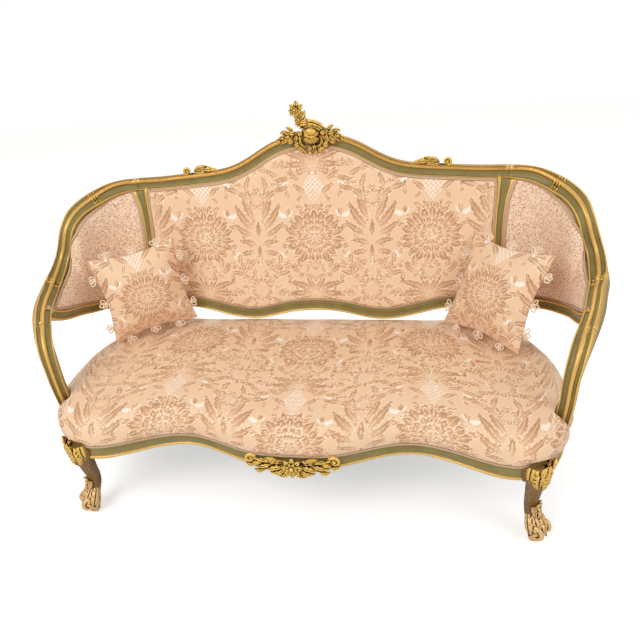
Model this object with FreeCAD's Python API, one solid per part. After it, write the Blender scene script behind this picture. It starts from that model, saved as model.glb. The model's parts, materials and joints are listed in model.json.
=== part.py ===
import FreeCAD, Part
import math
import os

from FreeCAD import Vector

# A three-seat cabriole sofa with a carved and moulded show frame.
# X runs along the sofa, Y from the front to the back, Z up. Millimetres.

# Driving dimensions of the back
CREST_Z = 1076
SHOULDER_Z = 943
LOWER_RAIL_Z = 486
BACK_Y = 470
BACK_RAKE = 135
RAKE_BEND = 1.6
POST_X = 686

# Driving dimensions of the arms
ARM_X = 947
ARM_Z = 675
SUPPORT_Y = -212

# Driving dimensions of the seat frame
RAIL_TOP_Z = 316
RAIL_HEIGHT = 50
RAIL_DEPTH = 44
RAIL_SCALLOP = 9
LEG_X = 716
LEG_Y = -330
LEG_BLOCK = 62
FOOT_X = 756
FOOT_Y = -338
REAR_POST_Y = 322
REAR_FOOT_SPLAY = 78
LEG_CORNER = 0.55

# Widths and depths of the show frame's members
CREST_WIDTH = 42
CREST_DEPTH = 38
ARM_WIDTH = 56
ARM_DEPTH = 40
SUPPORT_WIDTH = 44
LOWER_RAIL_WIDTH = 37
LOWER_RAIL_DEPTH = 34
STILE_WIDTH = 33
STILE_FLARE = 78
POST_BLOCK = 54
REAR_FOOT = 36

# Upholstery
CLOTH_GAP = 0.3
SEAT_OVERHANG = 15
SEAT_CROWN_Z = 436
PAD_THICKNESS = 20
COVER_THICKNESS = 3
WEB_THICKNESS = 2
WEB_WIDTH = 50
DUST_COVER_INSET = 24
DUST_COVER_CLEARANCE = 6
GIMP_WIDTH = 9
GIMP_THICKNESS = 3
PILLOW_SIDE = 345
PILLOW_THICKNESS = 112
SUPPORT_CLEARANCE = 4
TUCK = 9
WING_STATIONS = 12
FACE_DROP = 0.16
WING_DROP = -12

# Each loose pillow's centre, then its turn, its lean and its roll in degrees
RIGHT_PILLOW = ((643, 204, 604), -48, -25, -2.6)
LEFT_PILLOW = ((-637, 200, 612), 30, -12, -4)

# Joinery and hardware
DOWEL_RADIUS = 5
DOWEL_LENGTH = 44
DOWEL_SPREAD = 0.22
BRACE_WIDTH = 60
BRACE_INSET = 7
BLOCK_DEPTH = 34
SCREW_RADIUS = 2.2
SCREW_LENGTH = 55
SCREW_SPREAD = 11
SCREW_HEAD_RADIUS = 4.5
SCREW_HEAD = 3
GLIDE_RADIUS = 11
GLIDE_HEIGHT = 4
COLLAR_RIB = 6
COLLAR_PITCH = 10
COLLAR_RISE = 3
WING_TIP_BACK = 75
WING_COLLAR = 180
SCROLL_REACH = 470

RAIL_MID_Z = RAIL_TOP_Z - RAIL_HEIGHT / 2
RAIL_LOW_Z = RAIL_TOP_Z - RAIL_HEIGHT
STATION_PITCH = 48
RING_POINTS = 36

# Side pieces whose right and left copies share one node
SHARED_NODES = ("collars", "dowels", "corner_blocks", "block_screws", "glides")

UP = Vector(0, 0, 1)
RIGHT = Vector(1, 0, 0)
ORIGIN = Vector(0, 0, 0)

# Sections are given as shares of a member's width, from its inner to its outer edge,
# and shares of its depth, from its face (0) to its hidden side (-1).
SHOW_FACE = (
    (-0.50, -0.16), (-0.43, -0.02), (-0.35, -0.16), (-0.08, -0.14), (0.03, 0.08),
    (0.14, -0.12), (0.33, -0.18), (0.42, -0.03), (0.50, -0.20),
)
SHOW_SECTION = SHOW_FACE + ((0.48, -0.62), (0.30, -0.96), (-0.10, -1.0), (-0.50, -0.92))
LOWER_SECTION = (
    (-0.50, -0.10), (-0.36, 0.04), (-0.24, -0.12), (0.22, -0.10), (0.34, 0.05),
    (0.50, -0.08), (0.50, -1.0), (-0.50, -1.0),
)
SEAT_SECTION = (
    (-0.50, -0.02), (-0.40, 0.09), (-0.24, 0.09), (-0.16, -0.06), (0.30, -0.02),
    (0.40, 0.0), (0.50, 0.0), (0.50, -1.0), (-0.50, -1.0),
)
PLAIN_SECTION = ((-0.5, 0.1), (0.5, 0.1), (0.5, -1.0), (-0.5, -1.0))

# Outline of the seat frame in plan, from the middle of the front round the right side
# to the middle of the back.
SEAT_PLAN = (
    (0, -350), (120, -343), (240, -302), (360, -271), (480, -293), (600, -340), (690, -352),
    (752, -328), (804, -266), (836, -180), (845, -80), (840, 20), (820, 115), (778, 208),
    (728, 290), (650, 338), (480, 346), (240, 347), (0, 347),
)


def back_y(z):
    """Return where the raked plane of the back lies at a height."""
    return BACK_Y - BACK_RAKE * (max(CREST_Z - z, 0) / (CREST_Z - LOWER_RAIL_Z)) ** RAKE_BEND


def blend(low, high, share):
    """Return the value at a share of the way between two numbers or vectors."""
    return low + (high - low) * share


def smooth_curve(places):
    """Return a smooth curve through places, and the distances of the places along it."""
    stops = [0.0]
    for near, far in zip(places, places[1:]):
        stops.append(stops[-1] + (far - near).Length)
    curve = Part.BSplineCurve()
    curve.interpolate(Points=places, Parameters=stops)
    return curve, stops


class Line:
    """A smooth centre line that carries its outer edge's direction, width and depth."""

    def __init__(self, points):
        """Take points as (place, edge direction, width, depth)."""
        self.points = points
        self.curve, self.stops = smooth_curve([point[0] for point in points])

    def frame(self, reach):
        """Return place, tangent, edge direction, face direction, width and depth at a distance."""
        last = len(self.stops) - 2
        index = max(i for i in range(last + 1) if i == 0 or self.stops[i] <= reach)
        share = (reach - self.stops[index]) / (self.stops[index + 1] - self.stops[index])
        near, far = self.points[index], self.points[index + 1]
        tangent = Vector(self.curve.tangent(reach)[0])
        edge = blend(near[1], far[1], share)
        edge = (edge - tangent * edge.dot(tangent)).normalize()
        width, depth = blend(near[2], far[2], share), blend(near[3], far[3], share)
        return self.curve.value(reach), tangent, edge, tangent.cross(edge), width, depth

    def stations(self, start, end):
        """Return evenly spaced distances between two ends of a stretch."""
        count = max(2, round((end - start) / STATION_PITCH))
        return [blend(start, end, step / count) for step in range(count + 1)]


def section_wire(frame, section, grow=0.0):
    """Return a member's closed section at a frame, enlarged all round by grow."""
    place, _, edge, face, width, depth = frame
    corners = []
    for across, down in section:
        sideways = edge * (across * (width + 2 * grow))
        outward = face * (depth / 2 + grow + down * (depth + 2 * grow))
        corners.append(place + sideways + outward)
    return Part.makePolygon(corners + corners[:1])


def member(line, start, end, section, grow=0.0):
    """Return a moulded member that follows a line between two distances."""
    wires = [section_wire(line.frame(reach), section, grow) for reach in line.stations(start, end)]
    return Part.makeLoft(wires, True, False)


def mirrored(shape):
    """Return the left-hand twin of a right-hand shape."""
    return shape.mirror(ORIGIN, RIGHT)


def without(shape, tools):
    """Return the largest solid of a shape once the room that others take is cut away."""
    near = [tool for tool in tools if shape.BoundBox.intersect(tool.BoundBox)]
    cut = shape.cut(near) if near else shape
    return max(cut.Solids, key=lambda solid: solid.Volume)


# The top line: crest, wing, arm and arm support run on as one curve

def crest_points():
    """Return the crest's half line, from the middle to over the rear post."""
    shares = (
        (0.0, 1.0), (0.11, 0.955), (0.22, 0.775), (0.33, 0.474), (0.44, 0.24),
        (0.57, 0.128), (0.73, 0.068), (0.875, 0.02), (1.0, 0.0),
    )
    points = []
    for across, rise in shares:
        z = blend(SHOULDER_Z, CREST_Z, rise)
        points.append((Vector(across * POST_X, back_y(z), z), UP, CREST_WIDTH, CREST_DEPTH))
    return points


def arm_place(across, back, rise, low_z, high_z):
    """Return a point beside the seat, as shares of the arm's reach, run and height."""
    return Vector(
        blend(POST_X, ARM_X, across),
        blend(SUPPORT_Y, back_y(SHOULDER_Z), back),
        blend(low_z, high_z, rise),
    )


def wing_points():
    """Return the wing's part of the top line, from the post round the shoulder to the arm."""
    rows = (
        (0.307, 0.960, 0.972, Vector(0.35, 0.15, 0.93), 50),
        (0.602, 0.858, 0.862, Vector(0.72, 0.25, 0.64), 60),
        (0.768, 0.748, 0.740, Vector(0.87, 0.26, 0.41), 60),
        (0.835, 0.690, 0.593, Vector(0.95, 0.20, 0.20), ARM_WIDTH),
        (0.900, 0.680, 0.440, Vector(1.0, 0.10, 0.10), ARM_WIDTH),
        (0.977, 0.659, 0.246, Vector(1.0, 0.0, 0.05), ARM_WIDTH),
        (1.0, 0.578, 0.097, Vector(0.95, 0.0, 0.25), ARM_WIDTH),
        (0.966, 0.458, 0.041, Vector(0.80, 0.0, 0.60), ARM_WIDTH),
    )
    return [
        (arm_place(across, back, rise, ARM_Z, SHOULDER_Z), edge, width, ARM_DEPTH)
        for across, back, rise, edge, width in rows
    ]


def arm_points():
    """Return the arm's part of the top line, down to the support."""
    rows = (
        (0.870, 0.338, 0.030, Vector(0.70, 0.0, 0.70)),
        (0.782, 0.227, 0.0, Vector(0.70, 0.0, 0.70)),
        (0.644, 0.102, -0.104, Vector(0.75, -0.20, 0.60)),
    )
    return [
        (arm_place(across, back, rise, ARM_Z, SHOULDER_Z), edge, ARM_WIDTH, ARM_DEPTH)
        for across, back, rise, edge in rows
    ]


def support_points():
    """Return the arm support's part of the top line, down to the side seat rail."""
    rows = (
        (0.536, 0.024, 0.802, Vector(0.85, -0.40, 0.30), 52),
        (0.487, -0.007, 0.624, Vector(0.90, -0.45, 0.0), 46),
        (0.492, -0.006, 0.401, Vector(0.90, -0.45, 0.0), SUPPORT_WIDTH),
        (0.483, 0.0, 0.206, Vector(0.90, -0.45, 0.0), SUPPORT_WIDTH),
        (0.467, 0.003, -0.011, Vector(0.90, -0.45, 0.0), SUPPORT_WIDTH),
    )
    return [
        (arm_place(across, back, rise, RAIL_TOP_Z, ARM_Z), edge, width, ARM_DEPTH)
        for across, back, rise, edge, width in rows
    ]


def flipped(point):
    """Return a line's point on the left-hand side."""
    place, edge, width, depth = point
    return Vector(-place.x, place.y, place.z), Vector(-edge.x, edge.y, edge.z), width, depth


def top_line():
    """Return the whole top line and the distances of its right-hand joints."""
    crest = crest_points()
    half = crest + wing_points() + arm_points() + support_points()
    line = Line([flipped(point) for point in reversed(half[1:])] + half)
    middle = len(half) - 1
    wing = middle + len(crest) - 1
    arm = wing + len(wing_points())
    support = arm + len(arm_points())
    return line, [line.stops[index] for index in (middle, wing, arm, support)] + [line.stops[-1]]


def lower_rail_line():
    """Return the lower back rail's line, with a dip on each side of the middle."""
    rows = ((0.0, 0), (0.17, -10), (0.34, -31), (0.52, -19), (0.70, 8), (0.86, 14), (1.0, 14))
    half = []
    for across, rise in rows:
        z = LOWER_RAIL_Z + rise
        place = Vector(across * POST_X, back_y(z), z)
        half.append((place, UP * -1, LOWER_RAIL_WIDTH, LOWER_RAIL_DEPTH))
    backward = [flipped(point) for point in half]
    return Line(half[::-1] + backward[1:])


def wing_lower_line(arm_end):
    """Return the lower wing rail's line, from the post up to the underside of the arm."""
    rows = (
        (0.0, 0.817, 0.512), (0.314, 0.806, 0.521), (0.605, 0.750, 0.546),
        (0.77, 0.648, 0.590), (0.793, 0.493, 0.696), (0.759, 0.326, 0.819),
    )
    points = []
    for across, back, rise in rows:
        place = arm_place(across, back, rise, RAIL_TOP_Z, ARM_Z)
        points.append((place, UP * -1, LOWER_RAIL_WIDTH, LOWER_RAIL_DEPTH))
    points.append((arm_end, UP * -1, LOWER_RAIL_WIDTH, LOWER_RAIL_DEPTH))
    return Line(points[::-1])


def rear_post_line():
    """Return the rear post's line: the stile down to the seat and the raked leg below it."""
    drop = SHOULDER_Z - LOWER_RAIL_Z
    stile = (
        (-3, -0.01, STILE_FLARE), (-9, 0.085, 56), (-16, 0.20, 38), (-20, 0.38, STILE_WIDTH),
        (-19, 0.65, STILE_WIDTH), (-13, 0.86, 36), (-6, 1.0, 43),
    )
    points = []
    for lean, share, width in stile:
        z = SHOULDER_Z - share * drop
        points.append((Vector(POST_X + lean, back_y(z), z), RIGHT, width, LOWER_RAIL_DEPTH))
    points.append((Vector(POST_X, REAR_POST_Y, RAIL_TOP_Z + 50), RIGHT, POST_BLOCK, 48))
    for z in (RAIL_TOP_Z, RAIL_LOW_Z):
        points.append((Vector(POST_X, REAR_POST_Y, z), RIGHT, POST_BLOCK, POST_BLOCK))
    for share, size in ((0.35, 45), (0.72, 38), (1.0, REAR_FOOT), (1.08, REAR_FOOT)):
        place = Vector(POST_X + 16 * share, REAR_POST_Y + REAR_FOOT_SPLAY * share ** 1.5,
                       blend(RAIL_LOW_Z, GLIDE_HEIGHT, share))
        points.append((place, RIGHT, size, size))
    return Line(points)


class SeatPlan:
    """The closed plan curve of the seat frame's outer face, measured from its front middle."""

    def __init__(self):
        right = [Vector(x, y, 0) for x, y in SEAT_PLAN]
        left = [Vector(-point.x, point.y, 0) for point in reversed(right)]
        self.curve, stops = smooth_curve(left + right[1:])
        self.run = stops[-1]

    def reach(self, x, y):
        """Return the distance of a plan point from the front middle."""
        return self.curve.parameter(Vector(x, y, 0)) - self.run / 2

    def frame(self, reach):
        """Return the place, the tangent and the outward direction at a distance."""
        at = (reach + self.run / 2) % self.run
        tangent = Vector(self.curve.tangent(at)[0])
        return self.curve.value(at), tangent, tangent.cross(UP)

    def rail(self, start, end, scallop=0):
        """Return the line of a rail whose outer face follows the plan between parameters.

        Its lower edge rises by the scallop where the front draws back most."""
        front, dip = SEAT_PLAN[0][1], max(point[1] for point in SEAT_PLAN[:6])
        points = []
        for step in range(RING_POINTS + 1):
            place, _, outward = self.frame(blend(start, end, step / RING_POINTS))
            height = RAIL_HEIGHT - scallop * max(place.y - front, 0) / (dip - front)
            place = place - outward * (RAIL_DEPTH / 2) + UP * (RAIL_TOP_Z - height / 2)
            points.append((place, UP, height, RAIL_DEPTH))
        return Line(points)

    def ring(self, z, grow, shrink=1.0):
        """Return the plan as a closed wire at a height, moved outward and drawn in."""
        points = []
        for step in range(RING_POINTS + 1):
            place, _, outward = self.frame(self.run * (step / RING_POINTS - 0.5))
            place = place + outward * grow
            points.append(Vector(place.x * shrink, place.y * shrink, z))
        return Part.Wire([smooth_curve(points)[0].toShape()])


# Seat frame

def soft_square(centre, radius):
    """Return a level square of an across-flats radius with its corners taken off."""
    flat, short = radius, radius * LEG_CORNER
    corners = [(flat, short), (short, flat), (-short, flat), (-flat, short),
               (-flat, -short), (-short, -flat), (short, -flat), (flat, -short)]
    corners = [centre + Vector(x, y, 0) for x, y in corners]
    return Part.makePolygon(corners + corners[:1])


def front_leg():
    """Return the right cabriole leg: block, knee, slim ankle, outward foot and pad."""
    block = Part.makeBox(
        LEG_BLOCK, LEG_BLOCK, RAIL_HEIGHT,
        Vector(LEG_X - LEG_BLOCK / 2, LEG_Y - LEG_BLOCK / 2, RAIL_LOW_Z),
    )
    # Each row is a share of the height under the rail, a share of the way from block to
    # foot, how far the leg is drawn back, and the radius there.
    rows = (
        (1.0, 0.20, 3, 30), (0.93, 0.42, 4, 29), (0.80, 0.46, 12, 25), (0.64, 0.48, 20, 22),
        (0.50, 0.52, 27, 20), (0.36, 0.64, 17, 22), (0.26, 0.86, 3, 28), (0.17, 0.98, 0, 29),
        (0.09, 1.0, 0, 24), (0.05, 1.0, 0, 18), (0.0, 1.0, 0, 16),
    )
    rings = []
    for rise, out, back, radius in rows:
        centre = Vector(
            blend(LEG_X, FOOT_X, out), blend(LEG_Y, FOOT_Y, out) + back,
            blend(GLIDE_HEIGHT, RAIL_LOW_Z, rise),
        )
        rings.append(soft_square(centre, radius))
    return block.fuse(Part.makeLoft(rings, True, False)).removeSplitter()


def corner_block(at, toward):
    """Return a three-sided block in a corner of the seat frame, pointing into the seat."""
    across = toward.cross(UP) * (1.7 * BLOCK_DEPTH)
    corners = [at - toward * BLOCK_DEPTH * 0.7, at + across + toward * BLOCK_DEPTH,
               at - across + toward * BLOCK_DEPTH]
    corners = [Vector(corner.x, corner.y, RAIL_LOW_Z + BRACE_INSET) for corner in corners]
    face = Part.Face(Part.makePolygon(corners + corners[:1]))
    return face.extrude(UP * (RAIL_HEIGHT - 2 * BRACE_INSET))


def screw(at, into):
    """Return a wood screw with a round head, driven from a point in a direction."""
    shank = Part.makeCylinder(SCREW_RADIUS, SCREW_LENGTH, at, into)
    head = Part.makeCylinder(SCREW_HEAD_RADIUS, SCREW_HEAD, at - into * SCREW_HEAD, into)
    return shank.fuse(head)


def dowel_pair(frame, spread):
    """Return two dowels that cross a joint, set apart along the member's width."""
    place, tangent, edge, _, _, _ = frame
    pair = []
    for side in (-1, 1):
        start = place + edge * (side * spread) - tangent * (DOWEL_LENGTH / 2)
        pair.append(Part.makeCylinder(DOWEL_RADIUS, DOWEL_LENGTH, start, tangent))
    return pair


# Carving

def leaf(points, widths, lift, facing):
    """Return a carved leaf: a pointed lens that follows a curve and faces one way."""
    curve, _ = smooth_curve([Vector(*point) for point in points])
    wires = []
    count = len(widths) - 1
    for step, width in enumerate(widths):
        at = blend(curve.FirstParameter, curve.LastParameter, step / count)
        place, tangent = curve.value(at), Vector(curve.tangent(at)[0])
        across = tangent.cross(facing).normalize()
        outward = across.cross(tangent)
        corners = [place + across * width, place + outward * (lift * width / max(widths)),
                   place - across * width, place - outward * (0.4 * lift * width / max(widths))]
        wires.append(Part.makePolygon(corners + corners[:1]))
    return Part.makeLoft(wires, True, True)


def boss(centre, radius, thickness, facing, sides=10):
    """Return a faceted round boss that tapers towards its face."""
    across = facing.cross(UP).normalize()
    wires = []
    for depth, share in ((-0.5, 0.85), (0.1, 1.0), (0.5, 0.55)):
        corners = []
        for step in range(sides + 1):
            angle = 2 * math.pi * step / sides
            spoke = across * math.cos(angle) + across.cross(facing) * math.sin(angle)
            corners.append(centre + facing * (depth * thickness) + spoke * (radius * share))
        wires.append(Part.makePolygon(corners))
    return Part.makeLoft(wires, True, True)


def joined(pieces):
    """Return carved forms fused into one solid."""
    shape = pieces[0].multiFuse(pieces[1:])
    if len(shape.Solids) != 1:
        raise ValueError("a carved form stands apart from the rest")
    return shape.Solids[0]


def crest_cartouche():
    """Return the carving on the middle of the crest: shell, spray, scrolls and side leaves."""
    y = BACK_Y - CREST_DEPTH / 2 - 2
    front = Vector(0, -1, 0)
    low = CREST_Z
    pieces = [
        boss(Vector(4, y + 2, low + 24), 36, 32, front),
        leaf([(-40, y, low + 40), (2, y - 4, low + 60), (40, y, low + 46), (66, y, low + 20)],
             [6, 12, 13, 10, 3], 12, front),
        leaf([(-22, y - 3, low + 28), (-42, y - 3, low), (-4, y - 3, low - 38)],
             [7, 9, 9, 4], 12, front),
        leaf([(30, y - 3, low + 28), (44, y - 3, low - 2), (-4, y - 3, low - 38)],
             [7, 9, 9, 4], 12, front),
        leaf([(-24, y, low + 36), (-80, y + 2, low + 18), (-136, y + 6, low - 6)],
             [10, 14, 13, 9, 3], 12, front),
        leaf([(36, y, low + 34), (84, y + 2, low + 20), (132, y + 6, low - 10)],
             [10, 14, 13, 9, 3], 12, front),
        leaf([(-20, y + 2, low + 46), (-34, y + 2, low + 86), (-44, y + 2, low + 133)],
             [11, 10, 14, 12, 3], 12, front),
        leaf([(-34, y + 2, low + 88), (-54, y + 2, low + 100), (-64, y + 2, low + 116)],
             [8, 9, 4], 9, front),
        leaf([(-32, y + 2, low + 88), (-22, y + 2, low + 102), (-14, y + 2, low + 120)],
             [8, 9, 4], 9, front),
    ]
    return joined(pieces)


def crest_scroll(line, reach):
    """Return the right-hand scroll and leaf that ride on the crest rail's top edge."""
    place, tangent, edge, face, width, depth = line.frame(reach)
    front = Vector(0, -1, 0)
    base = place + edge * (width / 2 - 3)
    eye = base + tangent * 24 + edge * 13
    pieces = [
        boss(eye, 15, 18, front),
        leaf([eye - tangent * 6 + edge * 2, base - tangent * 40 + edge * 8,
              base - tangent * 108 - edge * 6], [10, 13, 10, 7, 3], 12, front),
        leaf([base - tangent * 24 + edge * 4, base - tangent * 44 + edge * 20,
              base - tangent * 58 + edge * 26], [7, 8, 3], 9, front),
    ]
    return joined(pieces)


def apron_cartouche():
    """Return the carving under the front rail: rosette, scroll ends and a hanging garland."""
    y = SEAT_PLAN[0][1] - 7
    front = Vector(0, -1, 0)
    low = RAIL_LOW_Z
    pieces = [boss(Vector(0, y + 3, low + 22), 25, 22, front)]
    for side in (-1, 1):
        pieces.append(boss(Vector(side * 138, y + 10, low + 20), 15, 16, front))
        pieces.append(leaf([(side * 140, y + 12, low + 14), (side * 92, y + 6, low - 8),
                            (side * 20, y, low - 10)], [7, 13, 16, 15, 8], 11, front))
        pieces.append(leaf([(side * 16, y, low + 20), (side * 62, y + 3, low + 8),
                            (side * 116, y + 8, low + 12)], [11, 10, 8, 5], 9, front))
    for index in range(-3, 4):
        tip = Vector(index * 34, y + 3 + abs(index), low - 31 + abs(index) * 5)
        root = Vector(index * 26, y + 2 + abs(index), low + 2)
        pieces.append(leaf([root, (root + tip) * 0.5, tip], [9, 8, 3], 8, front))
    return joined(pieces)


def knee_leaf(grow=0.0):
    """Return the acanthus that wraps the outer side of the right knee, enlarged by grow."""
    outward = Vector(1, -1, 0).normalize()
    rows = (
        (RAIL_TOP_Z + 24, 20, 20), (RAIL_TOP_Z + 4, 30, 26), (RAIL_MID_Z, 33, 30),
        (RAIL_LOW_Z, 30, 28), (RAIL_LOW_Z - 34, 22, 21), (RAIL_LOW_Z - 62, 15, 8),
    )
    wires = []
    for z, out, radius in rows:
        wires.append(soft_square(Vector(LEG_X, LEG_Y, z) + outward * out, radius + grow))
    return Part.makeLoft(wires, True, False)


# Upholstery

def seat_cushion(plan):
    """Return the sprung seat as one crowned solid that overhangs its rails."""
    rise = SEAT_CROWN_Z - RAIL_TOP_Z
    base = RAIL_TOP_Z + 2 * (WEB_THICKNESS + CLOTH_GAP)
    rings = [
        plan.ring(base, -3), plan.ring(RAIL_TOP_Z + 0.14 * rise, 0.6 * SEAT_OVERHANG),
        plan.ring(RAIL_TOP_Z + 0.34 * rise, SEAT_OVERHANG),
        plan.ring(RAIL_TOP_Z + 0.58 * rise, 0.85 * SEAT_OVERHANG),
        plan.ring(RAIL_TOP_Z + 0.76 * rise, -0.2 * SEAT_OVERHANG),
        plan.ring(RAIL_TOP_Z + 0.88 * rise, -2.2 * SEAT_OVERHANG),
        plan.ring(SEAT_CROWN_Z, -2.2 * SEAT_OVERHANG, 0.72),
    ]
    return Part.makeLoft(rings, True, True)


def slab(front_drop, thickness, low, high):
    """Return part of a curved sheet that lies a drop behind the back's face plane.

    The low and high corners of its extent are (x, z) pairs."""
    rows = 8
    heights = [blend(low[1], high[1], row / rows) for row in range(rows + 1)]
    edges = []
    for drop in (front_drop, front_drop + thickness):
        face_y = drop - CREST_DEPTH / 2
        curve, _ = smooth_curve([Vector(low[0], back_y(z) + face_y, z) for z in heights])
        edges.append(curve.toShape())
    face = Part.makeRuledSurface(edges[0], edges[1])
    return face.extrude(RIGHT * (high[0] - low[0]))


def panel(top, low, reaches, front_drop, thickness):
    """Return a curved panel stretched between two lines, tucked a little into both.

    Reaches pairs the distances along the two lines."""
    rows = []
    for top_reach, low_reach in reaches:
        high, _, high_edge, _, high_width, _ = top.frame(top_reach)
        base, _, base_edge, _, base_width, _ = low.frame(low_reach)
        high = high - high_edge * (high_width / 2 - TUCK)
        base = base - base_edge * (base_width / 2 - TUCK)
        rows.append((high, base))
    wires = []
    for index, (high, base) in enumerate(rows):
        before = rows[max(index - 1, 0)]
        after = rows[min(index + 1, len(rows) - 1)]
        along = (after[0] + after[1] - before[0] - before[1]).normalize()
        face = along.cross(high - base).normalize()
        near, far = face * -front_drop, face * -(front_drop + thickness)
        corners = [high + near, base + near, base + far, high + far]
        wires.append(Part.makePolygon(corners + corners[:1]))
    return Part.makeLoft(wires, True, False)


def pillow():
    """Return a loose pillow, flat on XZ and centred: thin edges and a full middle."""
    half = PILLOW_SIDE / 2
    rings = []
    for depth, shrink in ((-0.5, 0.45), (-0.34, 0.76), (0.0, 1.0), (0.34, 0.76), (0.5, 0.45)):
        y = depth * PILLOW_THICKNESS
        size = half * shrink
        corners = [Vector(-size, y, -size), Vector(size, y, -size), Vector(size, y, size),
                   Vector(-size, y, size)]
        rings.append(Part.makePolygon(corners + corners[:1]))
    return Part.makeLoft(rings, True, True)


def plan_band(plan, z, height, outer, inner):
    """Return a closed upright band that follows the seat's outline."""
    band = Part.Face(plan.ring(z, outer)).cut(Part.Face(plan.ring(z, inner)))
    return band.extrude(UP * height)


def strap_box(x, y, width, length, level):
    """Return a long flat strap centred on a plan point."""
    return Part.makeBox(width, length, WEB_THICKNESS, Vector(x - width / 2, y - length / 2, level))


def seat_webbing(plan):
    """Return the two crossing layers of webbing stapled to the top of the seat rails."""
    low_level = RAIL_TOP_Z + CLOTH_GAP
    high_level = low_level + WEB_THICKNESS
    low = [strap_box(120 * step, 0, WEB_WIDTH, 2 * ARM_X, low_level) for step in range(-5, 6)]
    high = [strap_box(0, y, 2 * ARM_X, WEB_WIDTH, high_level) for y in (-140, -30, 80, 190)]
    pieces = []
    for level, boxes in ((low_level, low), (high_level, high)):
        trim = Part.Face(plan.ring(level, -8)).extrude(UP * WEB_THICKNESS)
        pieces += Part.makeCompound(boxes).common(trim).Solids
    return pieces


def back_webbing(rails):
    """Return the crossing straps stretched behind the centre back pad."""
    drop = FACE_DROP * CREST_DEPTH + PAD_THICKNESS
    half = WEB_WIDTH / 2
    pieces = []
    for x in (-450, -300, -150, 0, 150, 300, 450):
        blank = slab(drop, WEB_THICKNESS, (x - half, LOWER_RAIL_Z - 40), (x + half, CREST_Z))
        pieces.append(without(blank, rails))
    for z in (600, 720, 840):
        behind = drop + WEB_THICKNESS + CLOTH_GAP
        blank = slab(behind, WEB_THICKNESS, (-POST_X, z - half), (POST_X, z + half))
        pieces.append(without(blank, rails))
    return pieces


def collar(line, reach, members):
    """Return three small ribs that stand proud of the moulded face, centred at a distance."""
    section = tuple((across, down + COLLAR_RISE / ARM_DEPTH) for across, down in SHOW_FACE)
    section += ((0.50, -0.4), (-0.50, -0.4))
    ribs = []
    for step in (-1, 0, 1):
        start = reach + step * COLLAR_PITCH - COLLAR_RIB / 2
        wires = [section_wire(line.frame(at), section) for at in (start, start + COLLAR_RIB)]
        ribs.append(without(Part.makeLoft(wires, True, True), members))
    return ribs


def placed_pillow(centre, yaw, lean, roll):
    """Return a pillow turned to lean in its corner and moved to its centre."""
    shape = pillow()
    shape.rotate(ORIGIN, Vector(0, 1, 0), roll)
    shape.rotate(ORIGIN, RIGHT, lean)
    shape.rotate(ORIGIN, UP, yaw)
    shape.translate(Vector(*centre))
    return shape


# Assembly

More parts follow.
